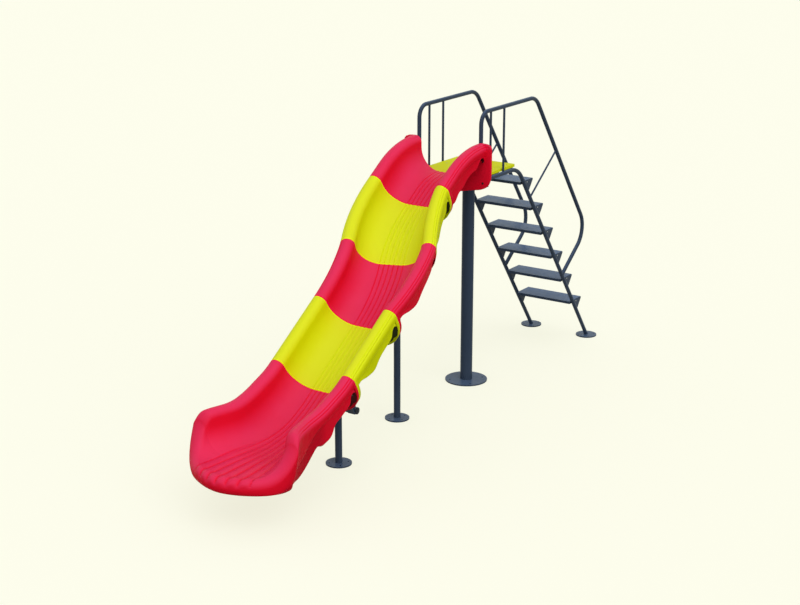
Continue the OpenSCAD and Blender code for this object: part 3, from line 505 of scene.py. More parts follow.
def skin(name, rings, has_tip, material):
    """A ring is a half line, its place, its turn, and its wear and painted light. Both sides share the middle
    points.
    """
    count, last = len(rings[0][0]), len(rings) - 1
    points, wear_and_light, index = [], [], {}
    for i, (line, place, turn, marks) in enumerate(rings):
        tip = has_tip and i == last
        for j, v in enumerate(line):
            middle = j in (0, count - 1)
            for hand in (1, -1):
                if tip and middle:
                    index[i, j, hand] = index[i - 1, j, 1]
                elif hand < 0 and (middle or tip):
                    index[i, j, hand] = index[i, j, 1]
                else:
                    index[i, j, hand] = len(points)
                    points.append(placed(v, place, hand, turn))
                    wear_and_light.append(marks[j])
    faces = []
    for i in range(last):
        for j in range(count - 1):
            for hand in (1, -1):
                quad = [index[i + a, j + b, hand] for a, b in ((0, 0), (1, 0), (1, 1), (0, 1))]
                quad = list(dict.fromkeys(quad if hand < 0 else quad[::-1]))
                if len(quad) > 2:
                    faces.append(quad)
    for i in ([0] if has_tip else [0, last]):
        loop = [index[i, j, 1] for j in range(count)] + [index[i, j, -1] for j in range(count - 2, 0, -1)]
        faces.append(loop if i == 0 else loop[::-1])
    mesh = bpy.data.meshes.new(name)
    mesh.from_pydata(points, [], faces)
    mesh.validate()
    soften(mesh, SKIN_SHARP)
    # How much each point faces up, for the painted highlight on top faces.
    faces_up = [smooth(v.normal.z + SKY_LEAD) for v in mesh.vertices]
    columns = list(zip(*wear_and_light)) + [faces_up]
    for label, values in zip(WEAR_AND_PAINTED_LIGHT, columns):
        mesh.attributes.new(label, "FLOAT", "POINT").data.foreach_set("value", values)
    mesh.materials.append(material)
    made = new_object(name, mesh)
    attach(made, "root")
    return made


print("skins carry", *WEAR_AND_PAINTED_LIGHT)

# %% [markdown]
# ## Rings with relief, wear and painted light
# Every point of a line knows its outward direction, so ribs can stand out and edges can be rounded by moving
# points along it. Rounded ends come from stations only a millimetre apart that step in like a quarter circle.
# A Bevel modifier would round the ribs and grooves as well.

# %% Rings
ROUND = 5.0
ROUND_STEPS = [0.0, 0.4, 1.2, 2.6, 5.0]
EDGE_FULL, EDGE_BAND = 6.0, 13.0
# Counted along the lower line: where painted shade begins on a flange's back, under a skirt and on the exit's
# hull.
BEHIND_FROM, BEHIND_RAMP, UNDER_FROM, SHADE_FROM = 6, 3, SKIRT_STEPS + 2, 6
PAINTED_SHADE_FROM, PAINTED_SHADE_RAMP = 90.0, 120.0


def outward(line):
    made = []
    for i in range(len(line)):
        a, b = line[max(0, i - 1)], line[min(len(line) - 1, i + 1)]
        dq, dn = b[0] - a[0], b[1] - a[1]
        size = hypot(dq, dn) or 1.0
        made.append((-dn / size, dq / size))
    made[0], made[-1] = (0.0, 1.0), (0.0, -1.0)
    return made


def inset(d):
    d = clamp(d, 0.0, ROUND)
    return ROUND - sqrt(max(0.0, ROUND * ROUND - (ROUND - d) ** 2))


def ring(line, place, end_gap, flange_gap, relief, turn=0.0, pocket=0.0, behind=False, shade=0.0):
    """Adds the relief, rounds the line near ends and flanges, and marks ride, the painted highlight at ends,
    painted shade and the painted shade of lines.
    """
    upper_count = len(line) - LOWER_STEPS
    under = upper_count + (BEHIND_FROM if behind else UNDER_FROM)
    # A bright painted highlight along the rounded ends of each section.
    bright = 1.0 - smooth((end_gap - EDGE_FULL) / (EDGE_BAND - EDGE_FULL))
    moved, marks = [], []
    for j, (v, o) in enumerate(zip(line, outward(line))):
        height, line_shade = relief(j, v) if j < upper_count else (0.0, 0.0)
        step = height - (inset(end_gap) if j < upper_count else max(inset(end_gap), inset(flange_gap)))
        moved.append((v[0] + o[0] * step, v[1] + o[1] * step))
        ride = 1.0 - smooth((j - RIB_STEPS) / CURVE_STEPS)
        # Painted shade in the pockets, behind a flange and under a raised arch.
        begun = smooth((j - under) / BEHIND_RAMP) if behind else float(j >= under)
        grime = pocket * begun * smooth((v[0] - PAINTED_SHADE_FROM) / PAINTED_SHADE_RAMP)
        # The exit's recessed lower hull gets painted shade as well.
        if upper_count + SHADE_FROM < j < upper_count + SKIRT_STEPS + CORNER_STEPS + SOLE_STEPS:
            grime = max(grime, shade)
        marks.append((ride, bright, grime, line_shade))
    return (moved, place, turn, marks)


print("rings round ends by", ROUND, "mm")

# %% [markdown]
# ## Ribs, grooves and arches
# Six low ribs along the floor let water run under the rider, and two fine grooves run along the rim.
# Beside a flange the skirt's lower edge rises in an arch that leaves room for a spanner, and between the
# arches one foot hangs lower. Bump could fake the ribs, but not where they meet the outline. Bell curves give
# all these forms, because they rise and fade without a crease.

# %% Ribs, grooves and arches
RIB_H, RIB_HALF = 4.6, 0.13
GROOVES, GROOVE_DEPTH, GROOVE_HALF = (36.8, 57.3), 4.2, 4.2
SKIRT_H, FOOT_DROP, FOOT_SHARE, FOOT_HALF = 106.0, 38.0, 0.62, 80.0
ARCH_FROM, ARCH_HALF, END_ARCH_FROM, END_ARCH_HALF = 68.0, 46.0, 60.0, 75.0
ARCH_END, POCKET_FROM, POCKET_FULL = 132.0, 8.0, 30.0


def hump(d, half_width):
    return exp(-(d / half_width) ** 2)


def arch(d):
    return exp(-abs((d - ARCH_FROM) / ARCH_HALF) ** 3)


def rib(u):
    return hump(u - floor(u) - 0.5, RIB_HALF) if u < RIB_COUNT else 0.0


def rim_groove(j):
    roll = j - (RIB_STEPS + CURVE_STEPS + UPRIGHT_STEPS + 1)
    degrees = -90.0 + 180.0 * roll / ROLL_STEPS
    return sum(hump(degrees - g, GROOVE_HALF) for g in GROOVES) if roll > 0 else 0.0


def section_relief(j, v):
    """How high the surface stands out here, and how much painted shade its line gets."""
    line_shade = rib(v[0] / RIB_PITCH) if j <= RIB_STEPS else rim_groove(j)
    return (RIB_H if j <= RIB_STEPS else -GROOVE_DEPTH) * line_shade, line_shade


def skirt_edge(d, length, first_rise, end_rise):
    return SKIRT_H + first_rise * arch(d) \
        + end_rise * hump(length - d - END_ARCH_FROM, END_ARCH_HALF) \
        - FOOT_DROP * hump(d - FOOT_SHARE * length, FOOT_HALF)


# How much painted shade darkens the pocket under a raised arch.
def pocket_at(d, edge):
    return smooth((edge - SKIRT_H - POCKET_FROM) / POCKET_FULL) if d < ARCH_END else 0.0


print(2 * RIB_COUNT, "ribs of", RIB_H, "mm and", len(GROOVES), "grooves in each rim")

# %% [markdown]
# ## Four moulded sections
# Each section has a flange with bolts at both ends, half round at the joints and squarer at the entry.
# Stations lie close together where the line changes fast. One function builds all four sections, because the
# real ones differ mostly in their bend, their colour and the entry flange.

# %% Chute sections
FLANGE_R, FLANGE_H = 408.0, 212.0
EAR_Y, EAR_CENTRE, EAR_DROP, EAR_POWER = 455.0, 200.0, 124.0, 0.36
ARCH_RISE, END_ARCH_RISE, ENTRY_ARCH_RISE, ENTRY_END_RISE = 66.0, 56.0, 84.0, -60.0
ARCH_GAP, ARCH_STEP, BODY_GAP, BODY_STEP, END_GAP = 3.0, 4.0, 8.0, 9.0, 0.4
# Rings on a flange's back: the place along the path, the way towards the skirt, and the painted shade.
CHEEKS = ((FLANGE_T + 0.15, 0.18, 0.0), (FLANGE_T + 0.25, 0.22, 1.0), (FLANGE_T + 0.4, 1.0, 1.0))
CHEEK_FROM, CHEEK_RAMP, SKIRT_GAP, FLANGE_MIDDLE = 3, 8, 0.5, [12.0, 20.0]


def steps(begin, end, size):
    count = max(1, round((end - begin) / size))
    return [begin + (end - begin) * i / count for i in range(count + 1)]


# A flange is its ear, its lower line, and the rise of the skirt at both ends of the section it starts.
joint_flange = (1.0, lower_flange(FLANGE_R, FLANGE_H, FLANGE_R, 1.0), ARCH_RISE, END_ARCH_RISE)
entry_flange = ((EAR_Y - RIM_Y) / RIM_R, lower_flange(EAR_Y, EAR_CENTRE, EAR_CENTRE + EAR_DROP, EAR_POWER),
                ENTRY_ARCH_RISE, ENTRY_END_RISE)
flange_stations = ROUND_STEPS + FLANGE_MIDDLE + [FLANGE_T - d for d in ROUND_STEPS[::-1]]
flange_stations.append(FLANGE_T + SKIRT_GAP)
first_stations = flange_stations[:-1] + [d for d, _, _ in CHEEKS] + flange_stations[-1:]
arch_stations = steps(FLANGE_T + ARCH_GAP, ARCH_END, ARCH_STEP)


def cheek(d, flange_line, belly_line):
    """How far a point goes in from flange to skirt follows its place on the line, so no face folds."""
    share = {at: share for at, share, _ in CHEEKS}[d]
    shares = [share if share == 1.0 else share * smooth((j - CHEEK_FROM) / CHEEK_RAMP)
              for j in range(LOWER_STEPS)]
    return [between(a, b, t) for a, b, t in zip(flange_line, belly_line, shares)]


def dressed_lower(d, on_flange, flange_line, belly_line, edge, shaded):
    """The lower line at a station, how much painted shade it gets, and whether it is a flange's back."""
    if on_flange:
        return flange_line, 0.0, False
    for at, _, grime in CHEEKS:
        if d == at:
            return cheek(d, flange_line, belly_line), grime if shaded else 0.0, True
    return belly_line, pocket_at(d, edge), False


def chute_section(name, at, length, first, material):
    ear, first_line, first_rise, end_rise = first
    body = steps(ARCH_END + BODY_GAP, length - FLANGE_T - ARCH_STEP, BODY_STEP)
    rings = []
    for d in first_stations + arch_stations + body + [length - d for d in flange_stations[::-1]]:
        end_gap = min(d, length - d)
        on_flange, on_first = end_gap <= FLANGE_T, d <= FLANGE_T
        line = upper_line(RIM_Y, pi / 2, 0.0, ear if on_first else 1.0, 1.0)
        flange_line = first_line if on_first else joint_flange[1]
        edge = skirt_edge(d, length, first_rise, end_rise)
        belly_line = lower_belly(RIM_Y, pi / 2, rise(pi / 2), edge)
        lower, deep, behind = dressed_lower(d, on_flange, flange_line, belly_line, edge,
                                            first is joint_flange)
        flange_gap = FLANGE_T - end_gap if on_flange else ROUND
        place = at(clamp(d, END_GAP, length - END_GAP))
        rings.append(ring(line + lower, place, end_gap, flange_gap, section_relief,
                          pocket=deep, behind=behind))
    return skin(name, rings, False, material)


sections = (("moulded_start", start_at, start_len, entry_flange, red_polyethylene, "chute_start"),
            ("moulded_bend_out", bend_out_at, section_len, joint_flange, lime_polyethylene, "chute_bend_out"),
            ("moulded_bend_back", bend_back_at, section_len, joint_flange, red_polyethylene,
             "chute_bend_back"),
            ("moulded_straight", straight_at, section_len, joint_flange, lime_polyethylene, "chute_straight"))
for name, at, length, first, material, node in sections:
    piece = chute_section(name, at, length, first, material)
    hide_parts(node)
    print(name, len(piece.data.polygons), "faces")

# %% [markdown]
# ## The exit's form
# The last section levels out, widens like a scoop and ends in a rounded nose with a rolled lip. Its ribs fan
# out over the nose and swell into lobes that run over the lip. On the nose the lines stand like spokes, so
# the lobes can't follow them: they are worked out from each point's place instead.

# %% Exit form
NOSE_LEN, EXIT_FLARE, FLARE_LEN, EXIT_RISE, RISE_LEN = 308.5, 98.0, 413.0, 22.0, 350.0
LIP_ANGLE, LEAN_LEAD, LEAN_SPAN, SINK_LEAD, SINK_SPAN = 8.0, 18.0, 75.0, 40.0, 60.0
EXIT_FOOT_FROM, EXIT_FOOT_HALF, EXIT_FOOT_DROP = 505.0, 105.0, 82.0
KEEL_FROM, KEEL_LEN, KEEL_DROP = 520.0, 380.0, 230.0
HULL_FROM, HULL_LEN, HULL_SOFT, HULL_SPLIT = 480.0, 560.0, 48.0, 0.55
GROOVE_FADE, LOBE_POWER, LOBE_SINK, LOBE_END = 200.0, 0.6, 0.6, 0.4
LOBE_H, LOBE_FAN, FAN_FROM, LOBE_FROM, LOBE_FULL = 13.0, 1.2, 350.0, 480.0, 120.0


def exit_width(d):
    return RIM_Y + EXIT_FLARE * (max(0.0, d - exit_len + FLARE_LEN) / FLARE_LEN) ** 2


def wall_angle(turn):
    return radians(90 - (90 - LIP_ANGLE) * smooth((turn + LEAN_LEAD) / LEAN_SPAN))


def rim_lift(d, turn):
    return EXIT_RISE * smooth(d / RISE_LEN) * (1 - smooth((turn + SINK_LEAD) / SINK_SPAN))


def exit_edge(d):
    return SKIRT_H + ARCH_RISE * arch(d) \
        - EXIT_FOOT_DROP * exp(-((d - EXIT_FOOT_FROM) / EXIT_FOOT_HALF) ** 4) \
        - KEEL_DROP * smooth((d - KEEL_FROM) / KEEL_LEN)


def hull(d):
    share = smooth((d - HULL_FROM) / HULL_LEN)
    return SKIRT_SOFT + (HULL_SOFT - SKIRT_SOFT) * share, HULL_SPLIT * share


def fan_at(along):
    return 1.0 + LOBE_FAN * smooth((along - FAN_FROM) / (exit_len + NOSE_LEN - FAN_FROM))


def lobe(across, along):
    """The height of the ribs and lobes at a place on the floor, and how much painted shade it gets along ribs
    and in the lobes' valleys.
    """
    u = across / (RIB_PITCH * fan_at(along))
    if u >= RIB_COUNT:
        return 0.0, 0.0
    swell = smooth((along - LOBE_FROM) / (exit_len + LOBE_FULL - LOBE_FROM))
    bulge = abs(sin(pi * u))
    height = RIB_H * (1 - swell) * rib(u) + LOBE_H * swell * (bulge ** LOBE_POWER - LOBE_SINK)
    return height, (1 - swell) * rib(u) + swell * (1 - bulge) ** 2


def lobe_relief(along, turn):
    last = RIB_STEPS + CURVE_STEPS + UPRIGHT_STEPS + ROLL_STEPS

    def relief(j, v):
        fade = smooth((last - j) / (LOBE_END * ROLL_STEPS))
        grooved = rim_groove(j) * (1.0 - smooth((along - exit_len + GROOVE_FADE) / GROOVE_FADE))
        height, line_shade = lobe(v[0] * cos(turn), along + v[0] * sin(turn))
        return fade * height - GROOVE_DEPTH * grooved, fade * line_shade + grooved
    return relief


nose_width = exit_width(exit_len)
print("nose", round(2 * nose_width), "mm wide")

# %% [markdown]
# ## The exit's skin
# The wall leans out and the rim sinks along the nose's turn, so that the rim runs into the lip in one curve.
# A subdivided cage could give such a scoop too, but it is hard to keep round. Here, rings across the chute
# come first, and rings like spokes follow around the nose to its tip.

# %% Exit section
# HULL_SHADE is the painted shade on the exit's recessed lower hull, and SHADE_LEN is how far it takes to
# grow.
TURN_PER_MM, EXIT_STEP, HULL_SHADE, SHADE_LEN = 0.3, 8.0, 0.3, 140.0
NOSE_SHARE, NOSE_ROUND, SIDE_ROUND, NOSE_STEPS, KEEL_END = 0.62, 1.3, 1.1, 90, 70.0


def main_ring(d):
    turn = (d - exit_len) * TURN_PER_MM
    angle, lift, width = wall_angle(turn), rim_lift(d, turn), exit_width(d)
    line = upper_line(width, angle, lift, 1.0, fan_at(d))
    belly_line = lower_belly(width, angle, rise(angle) + lift, exit_edge(d), *hull(d))
    lower, deep, behind = dressed_lower(d, d <= FLANGE_T, joint_flange[1], belly_line, exit_edge(d), True)
    flange_gap = FLANGE_T - d if d <= FLANGE_T else ROUND
    place = exit_at(max(END_GAP, d))
    return ring(line + lower, place, d, flange_gap, lobe_relief(d, 0.0), pocket=deep, behind=behind,
                shade=HULL_SHADE * smooth((d - HULL_FROM) / SHADE_LEN))


def nose_ring(g):
    """A ring that stands like a spoke, from the nose's side at 0 degrees to its tip at 90."""
    x = NOSE_LEN * sin(radians(g)) ** NOSE_ROUND
    y = nose_width * max(0.0, cos(radians(g))) ** SIDE_ROUND
    foot = x * NOSE_SHARE
    width, turn = hypot(x - foot, y), atan2(x - foot, y)
    angle, lift = wall_angle(g), rim_lift(exit_len, g)
    crest, bottom = rise(angle) + lift, exit_edge(exit_len)
    shoulder = crest - RIM_R
    round_steps = SKIRT_STEPS + CORNER_STEPS
    lip = [(width + RIM_R * cos(a), shoulder - (shoulder - bottom) * sin(a))
           for a in (pi / 2 * i / round_steps for i in range(1, round_steps + 1))]
    flat_steps = LOWER_STEPS - round_steps
    lip += [(width * (1 - i / flat_steps), bottom) for i in range(1, flat_steps + 1)]
    keel = smooth(g / KEEL_END)
    belly = lower_belly(width, angle, crest, bottom, *hull(exit_len))
    lower = [between(a, b, keel) for a, b in zip(belly, lip)]
    line = upper_line(width, angle, lift, 1.0, fan_at(exit_len + foot)) + lower
    place = ahead(exit_at(exit_len), foot)
    return ring(line, place, EDGE_BAND, ROUND, lobe_relief(exit_len + foot, turn), turn,
                shade=HULL_SHADE * (1.0 - keel))


exit_stations = first_stations + arch_stations + steps(ARCH_END + BODY_GAP, exit_len, EXIT_STEP)
exit_rings = [main_ring(d) for d in exit_stations]
exit_rings += [nose_ring(90.0 * i / NOSE_STEPS) for i in range(1, NOSE_STEPS + 1)]
moulded_exit = skin("moulded_exit", exit_rings, True, red_polyethylene)
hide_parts("chute_exit")
print("exit", len(moulded_exit.data.polygons), "faces")

# %% [markdown]
# ## Growing pieces with Geometry Nodes
# Bolts repeat and handrails follow a path, so each kind is one tree of nodes that grows from a few points.
# The points carry attributes, such as a bolt's direction or a tube's bend radius, and the tree's named inputs
# hold the sizes that all share. The result is turned into a plain mesh, so nothing depends on the tree later.

# %% Helpers for trees
GROWN_SHARP = radians(35)


def new_tree(name, sizes):
    tree = bpy.data.node_groups.new(name, "GeometryNodeTree")
    sockets = [("Points", "Geometry")] + [(label, "Float") for label in sizes] + [("Finish", "Material")]
    for label, kind in sockets:
        tree.interface.new_socket(label, in_out="INPUT", socket_type="NodeSocket" + kind)
    tree.interface.new_socket("Mesh", in_out="OUTPUT", socket_type="NodeSocketGeometry")
    return tree, add(tree, "NodeGroupInput").outputs


def finish_tree(tree, shape, finish):
    whole = add(tree, "GeometryNodeRealizeInstances", {"Geometry": shape})
    dressed = add(tree, "GeometryNodeSetMaterial", {"Geometry": whole, "Material": finish})
    add(tree, "NodeGroupOutput", {"Mesh": dressed})


def grow(name, tree, points, lines, fields, sizes, material, node):
    """Grows a piece from points with attributes, and keeps it as a plain mesh."""
    seed = bpy.data.meshes.new(name)
    seed.from_pydata(points, lines, [])
    for label, (kind, values) in fields.items():
        key = "vector" if kind == "FLOAT_VECTOR" else "value"
        flat = [c for v in values for c in v] if key == "vector" else values
        seed.attributes.new(label, kind, "POINT").data.foreach_set(key, flat)
    made = new_object(name, seed)
    modifier = made.modifiers.new("grow", "NODES")
    modifier.node_group = tree
    chosen = dict(sizes, Finish=material)
    for socket in tree.interface.items_tree:
        if socket.in_out == "INPUT" and socket.name in chosen:
            modifier[socket.identifier] = chosen[socket.name]
    grown = bpy.data.meshes.new_from_object(made.evaluated_get(bpy.context.evaluated_depsgraph_get()))
    made.modifiers.clear()
    made.data = grown
    grown.name = name
    soften(grown, GROWN_SHARP)
    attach(made, "root")
    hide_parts(node)
    print(name, len(grown.polygons), "faces")
    return made


print("trees take their sizes by name")

# %% [markdown]
# ## Handrails
# A handrail is one steel tube, bent three times: over the platform's front post, at the stair head and at its
# low end, where it turns back square to the stringer. A polyline with a bend radius at each corner gives its
# axis, Fillet Curve rounds the corners, and a circle swept along it gives the tube. So each bend is one
# number.

# %% Handrails
RAIL_D, SIDE_Y, RUN_Z, RAIL_Z, INTO_TUBE = 38.0, 325.0, 2038.0, 2655.0, 14.0
STAIR_ANGLE, STRINGER_CORNER_X, RAIL_CORNER_X, RAIL_FOOT_Z = radians(53.05), 335.0, 646.0, 786.0
POST_BEND_R, HEAD_BEND_R, FOOT_BEND_R = 110.0, 190.0, 222.0
stair_run = 1.0 / tan(STAIR_ANGLE)
rail_gap = (RAIL_CORNER_X - STRINGER_CORNER_X + (RAIL_Z - RUN_Z) * stair_run) * sin(STAIR_ANGLE)
post_x = -ENTRY_X + RAIL_D / 2
foot_x = STRINGER_CORNER_X + (RUN_Z - RAIL_FOOT_Z) * stair_run
square = (sin(STAIR_ANGLE), cos(STAIR_ANGLE))
rail_line = [(post_x, RUN_Z + INTO_TUBE, 0.0), (post_x, RAIL_Z, POST_BEND_R),
             (RAIL_CORNER_X, RAIL_Z, HEAD_BEND_R),
             (foot_x + rail_gap * square[0], RAIL_FOOT_Z + rail_gap * square[1], FOOT_BEND_R),
             (foot_x + INTO_TUBE * square[0], RAIL_FOOT_Z + INTO_TUBE * square[1], 0.0)]

tube_sizes = {"Tube radius": RAIL_D / 2 * MM}
tube_tree, tube_in = new_tree("bent_tube", tube_sizes)
bend = add(tube_tree, "GeometryNodeInputNamedAttribute", {"Name": "bend"}, data_type="FLOAT")
axis = add(tube_tree, "GeometryNodeMeshToCurve", {"Mesh": tube_in["Points"]})
rounded = add(tube_tree, "GeometryNodeFilletCurve", {"Curve": axis, "Count": 16, "Radius": bend}, mode="POLY")
circle = add(tube_tree, "GeometryNodeCurvePrimitiveCircle",
             {"Resolution": 32, "Radius": tube_in["Tube radius"]})
tube = add(tube_tree, "GeometryNodeCurveToMesh",
           {"Curve": rounded, "Profile Curve": circle, "Fill Caps": True})
finish_tree(tube_tree, tube, tube_in["Finish"])

rail_edges = [(i, i + 1) for i in range(len(rail_line) - 1)]
for hand, label in ((1, "left"), (-1, "right")):
    corners = [(x * MM, hand * SIDE_Y * MM, z * MM) for x, z, _ in rail_line]
    bends = {"bend": ("FLOAT", [r * MM for _, _, r in rail_line])}
    grow("bent_handrail_" + label, tube_tree, corners, rail_edges, bends, tube_sizes,
         slate_powder_coat, "handrail_" + label)

# %% [markdown]
# ## Bolts
# Every joint is held by hexagon bolts with a nut behind. One tree grows them all: a chamfered head that sits
# against the seat and looks away from the bolt's direction, a shank as long as the grip needs, and a nut.
# Only the grip, the direction and the size differ from bolt to bolt, so these are the points' attributes.

# %% Bolts
WALL_SHARE, CHAMFER_SHARE = 0.8, 0.84
bolt_sizes = {"Hexagon radius": 9.5 * MM, "Head height": 6.5 * MM, "Nut height": 8.0 * MM,
              "Shank radius": 5.0 * MM, "Tail": 4.0 * MM}
bolt_tree, bolt_in = new_tree("hexagon_bolt", bolt_sizes)


def hexagon(height):
    """A hexagon prism with a chamfered top, standing on its seat."""
    radius = bolt_in["Hexagon radius"]
    shares = ((height, WALL_SHARE), (height, 1.0 - WALL_SHARE), (radius, CHAMFER_SHARE))
    tall, rest, narrow = (add(bolt_tree, "ShaderNodeMath", {0: whole, 1: share}, operation="MULTIPLY")
                          for whole, share in shares)
    wall = add(bolt_tree, "GeometryNodeMeshCone",
               {"Vertices": 6, "Radius Top": radius, "Radius Bottom": radius, "Depth": tall})
    chamfer = add(bolt_tree, "GeometryNodeMeshCone",
                  {"Vertices": 6, "Radius Top": narrow, "Radius Bottom": radius, "Depth": rest})
    lift = add(bolt_tree, "ShaderNodeCombineXYZ", {"Z": tall})
    top = add(bolt_tree, "GeometryNodeTransform", {"Geometry": chamfer, "Translation": lift})
    return add(bolt_tree, "GeometryNodeJoinGeometry", {"Geometry": [wall, top]})


way, grip, size = (add(bolt_tree, "GeometryNodeInputNamedAttribute", {"Name": label}, data_type=kind)
                   for label, kind in (("way", "FLOAT_VECTOR"), ("grip", "FLOAT"), ("size", "FLOAT")))
back = add(bolt_tree, "ShaderNodeVectorMath", {0: way, "Scale": -1.0}, operation="SCALE")
through = add(bolt_tree, "ShaderNodeVectorMath", {0: way, "Scale": grip}, operation="SCALE")
turn_back, turn_on = (add(bolt_tree, "FunctionNodeAlignRotationToVector", {"Vector": v}, axis="Z")
                      for v in (back, way))
far_side = add(bolt_tree, "GeometryNodeSetPosition", {"Geometry": bolt_in["Points"], "Offset": through})
rod = add(bolt_tree, "GeometryNodeMeshCone",
          {"Vertices": 20, "Radius Top": bolt_in["Shank radius"], "Radius Bottom": bolt_in["Shank radius"],
           "Depth": 1.0})
nut_and_tail = add(bolt_tree, "ShaderNodeMath", {0: bolt_in["Nut height"], 1: bolt_in["Tail"]})
rod_length = add(bolt_tree, "ShaderNodeMath", {0: nut_and_tail, 1: size, 2: grip}, operation="MULTIPLY_ADD")
stretch = add(bolt_tree, "ShaderNodeCombineXYZ", {"X": size, "Y": size, "Z": rod_length})
# Heads, nuts and shanks.
parts = ((bolt_in["Points"], hexagon(bolt_in["Head height"]), turn_back, size),
         (far_side, hexagon(bolt_in["Nut height"]), turn_on, size),
         (bolt_in["Points"], rod, turn_on, stretch))
copies = [add(bolt_tree, "GeometryNodeInstanceOnPoints",
              {"Points": at, "Instance": part, "Rotation": turned, "Scale": scale})
          for at, part, turned, scale in parts]
bolts = add(bolt_tree, "GeometryNodeJoinGeometry", {"Geometry": copies})
finish_tree(bolt_tree, bolts, bolt_in["Finish"])
print("bolt tree of", len(bolt_tree.nodes), "nodes")

# %% [markdown]
# The bolts' places come from the flanges: four at each joint of the chute, four at the entry flange, which is
# held to lugs on the handrail posts, and one at each end of a tread. They are worked out from the chute's
# path and the stair's slope, and a print compares the ends of the bolts with those of the solids.

# %% Places of the bolts
JOINT_SEATS, SEAT_BACK, JOINT_GRIP, BRACKET_T = ((351.8, 111.1), (148.9, -122.4)), 30.5, 61.0, 8.0
ENTRY_SEAT_X, ENTRY_SEAT_Y, ENTRY_SEATS_Z, ENTRY_GRIP = -388.0, 380.0, (2036.0, 2231.0), 39.0
TREAD_SEAT_X, TREAD_SEAT_Y, TREAD_SEAT_DROP, TREAD_GRIP, TREAD_SIZE = 90.0, 311.0, 17.0, 10.3, 0.8
FIRST_TREAD_Z, TREAD_RISE, TREADS, BRACKET_JOINTS = 446.0, 288.0, 6, (2, 4)


def place_bolts(name, seats, node, finish):
    """A seat is its place in metres, the bolt's direction, its grip in millimetres and its size."""
    fields = {"way": ("FLOAT_VECTOR", [tuple(w) for _, w, _, _ in seats]),
              "grip": ("FLOAT", [g * MM for _, _, g, _ in seats]),
              "size": ("FLOAT", [k for _, _, _, k in seats])}
    made = grow(name, bolt_tree, [tuple(at) for at, _, _, _ in seats], [], fields, bolt_sizes,
                finish, node)
    low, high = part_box(node)
    corners = [v.co for v in made.data.vertices]
    off = max(max(abs(min(c[k] for c in corners) - low[k]), abs(max(c[k] for c in corners) - high[k]))
              for k in range(3))
    print(name, "ends within", round(off / MM, 1), "mm of the solids")


for number, joint in enumerate(joints, 1):
    uphill = Vector(joint[:3]) - Vector(ahead(joint, 1.0)[:3])
    seats = []
    for q, n in JOINT_SEATS:
        through_bracket = BRACKET_T if number in BRACKET_JOINTS and n < 0 else 0.0
        for hand in (1, -1):
            seats.append((placed((q, n), ahead(joint, SEAT_BACK), hand, 0.0), uphill,
                          JOINT_GRIP + through_bracket, 1.0))
    place_bolts("flange_bolts_%d" % number, seats, "joint_bolts_%d" % number, painted_shade_zinc)

entry_seats = [(Vector((ENTRY_SEAT_X, hand * ENTRY_SEAT_Y, z)) * MM, (1.0, 0.0, 0.0), ENTRY_GRIP, 1.0)
               for hand in (1, -1) for z in ENTRY_SEATS_Z]
place_bolts("lug_bolts", entry_seats, "entry_bolts", painted_shade_zinc)

tread_seats = []
for i in range(TREADS):
    tread_z = FIRST_TREAD_Z + i * TREAD_RISE
    tread_x = STRINGER_CORNER_X + (RUN_Z - tread_z) * stair_run + TREAD_SEAT_X
    for hand in (1, -1):
        seat = Vector((tread_x, hand * TREAD_SEAT_Y, tread_z - TREAD_SEAT_DROP)) * MM
        tread_seats.append((seat, (0.0, -float(hand), 0.0), TREAD_GRIP, TREAD_SIZE))
place_bolts("stair_bolts", tread_seats, "tread_bolts", zinc_plated_steel)

# %% [markdown]
# ## Finishes of the steel frame
# The solids of the other tubes, the plates and the treads already have the right shape, so they only get
# their finish, by way of the slots that their materials sit in.

# %% Dress the carried-over solids
regrown = ("chute_", "handrail_", "joint_bolts_", "entry_bolts", "tread_bolts")


def finish_of(node):
    if node.startswith("tread_"):
        return tread_highlight_coat
    return {"panel_screws": zinc_plated_steel, "platform_panel": lime_board,
            "bar_caps": black_plug}.get(node, slate_powder_coat)


dressed = 0
for name, solid in nodes.items():
    if not name.startswith(regrown):
        for slot in solid.material_slots:
            slot.material = finish_of(name)
        dressed += 1
print("dressed", dressed, "solids")

# %% [markdown]
# ## Floor
# The slide stands on a plain cream floor. The camera sees the floor's full cream colour, while the light that
# the floor throws back on the slide comes from a greyer tone, as from a matt studio floor. A stronger lamp
# could make the floor pale too, but it would bleach the slide.

# %% Floor
CREAM, GLOW_SHARE, SPAN = "#ffffea", 0.76, 120.0


def background_rays(tree):
    """One for the rays that show the background itself, and nought for those that carry its light."""
    path = add(tree, "ShaderNodeLightPath").outputs
    shown = path["Is Camera Ray"]
    for kind in ("Is Glossy Ray", "Is Transmission Ray"):
        shown = add(tree, "ShaderNodeMath", {0: shown, 1: path[kind]}, operation="MAXIMUM")
    return shown


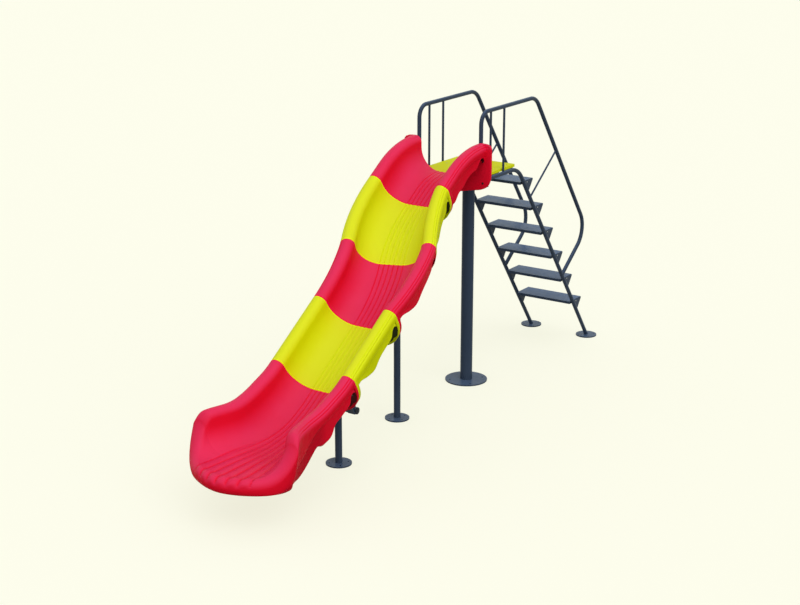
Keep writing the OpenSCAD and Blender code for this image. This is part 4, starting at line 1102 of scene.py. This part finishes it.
floor_mesh = bpy.data.meshes.new("studio_floor")
floor_corners = [(-SPAN, -SPAN, 0), (SPAN, -SPAN, 0), (SPAN, SPAN, 0), (-SPAN, SPAN, 0)]
floor_mesh.from_pydata(floor_corners, [], [(0, 1, 2, 3)])
studio_floor = new_object("studio_floor", floor_mesh)
matt_cream, cream_tree = new_material("matt_cream_floor")
seen = background_rays(cream_tree)
matt = add(cream_tree, "ShaderNodeBsdfDiffuse", {"Color": linear("#fffffa")})
glowing = add(cream_tree, "ShaderNodeEmission", {"Color": linear(CREAM)})
shown = add(cream_tree, "ShaderNodeMixShader", {0: GLOW_SHARE, 1: matt, 2: glowing})
grey = add(cream_tree, "ShaderNodeBsdfDiffuse", {"Color": linear("#8c8c84")})
cream = add(cream_tree, "ShaderNodeMixShader", {0: seen, 1: grey, 2: shown})
add(cream_tree, "ShaderNodeOutputMaterial", {"Surface": cream})
floor_mesh.materials.append(matt_cream)
print("floor", 2 * SPAN, "m wide")

# %% [markdown]
# ## Light
# An even sky, a little brighter overhead, and one wide, soft sun from beside the camera light the slide at a
# plain level, at which colours look about as they are written. The backdrop behind the floor has the same
# cream colour, so no horizon shows.

# %% Light
SKY_LOW, SKY_HIGH, SUN_SHARE, SUN_ANGLE = 0.52, 0.72, 0.54, radians(80)
sky = bpy.data.worlds.new("overcast_sky")
bpy.context.scene.world = sky
sky.use_nodes = True
sky_tree = sky.node_tree
sky_tree.nodes.clear()
direction = add(sky_tree, "ShaderNodeTexCoord").outputs["Generated"]
height = add(sky_tree, "ShaderNodeSeparateXYZ", {"Vector": direction}).outputs["Z"]
level = add(sky_tree, "ShaderNodeMapRange", {"Value": height, "To Min": SKY_LOW, "To Max": SKY_HIGH})
glow = add(sky_tree, "ShaderNodeBackground", {"Color": (1.0, 1.0, 1.0, 1.0), "Strength": level})
backdrop = add(sky_tree, "ShaderNodeBackground", {"Color": linear(CREAM)})
seen = background_rays(sky_tree)
mixed_sky = add(sky_tree, "ShaderNodeMixShader", {0: seen, 1: glow, 2: backdrop})
add(sky_tree, "ShaderNodeOutputWorld", {"Surface": mixed_sky})

sun_from = Vector((-0.6, -0.75, 0.62)).normalized()
sun_data = bpy.data.lights.new("soft_sun", "SUN")
sun_data.energy = SUN_SHARE * pi
sun_data.angle = SUN_ANGLE
soft_sun = new_object("soft_sun", sun_data)
soft_sun.rotation_euler = sun_from.to_track_quat("Z", "Y").to_euler()
bpy.context.scene.view_settings.view_transform = "Standard"
print("sun", round(sun_data.energy, 2))
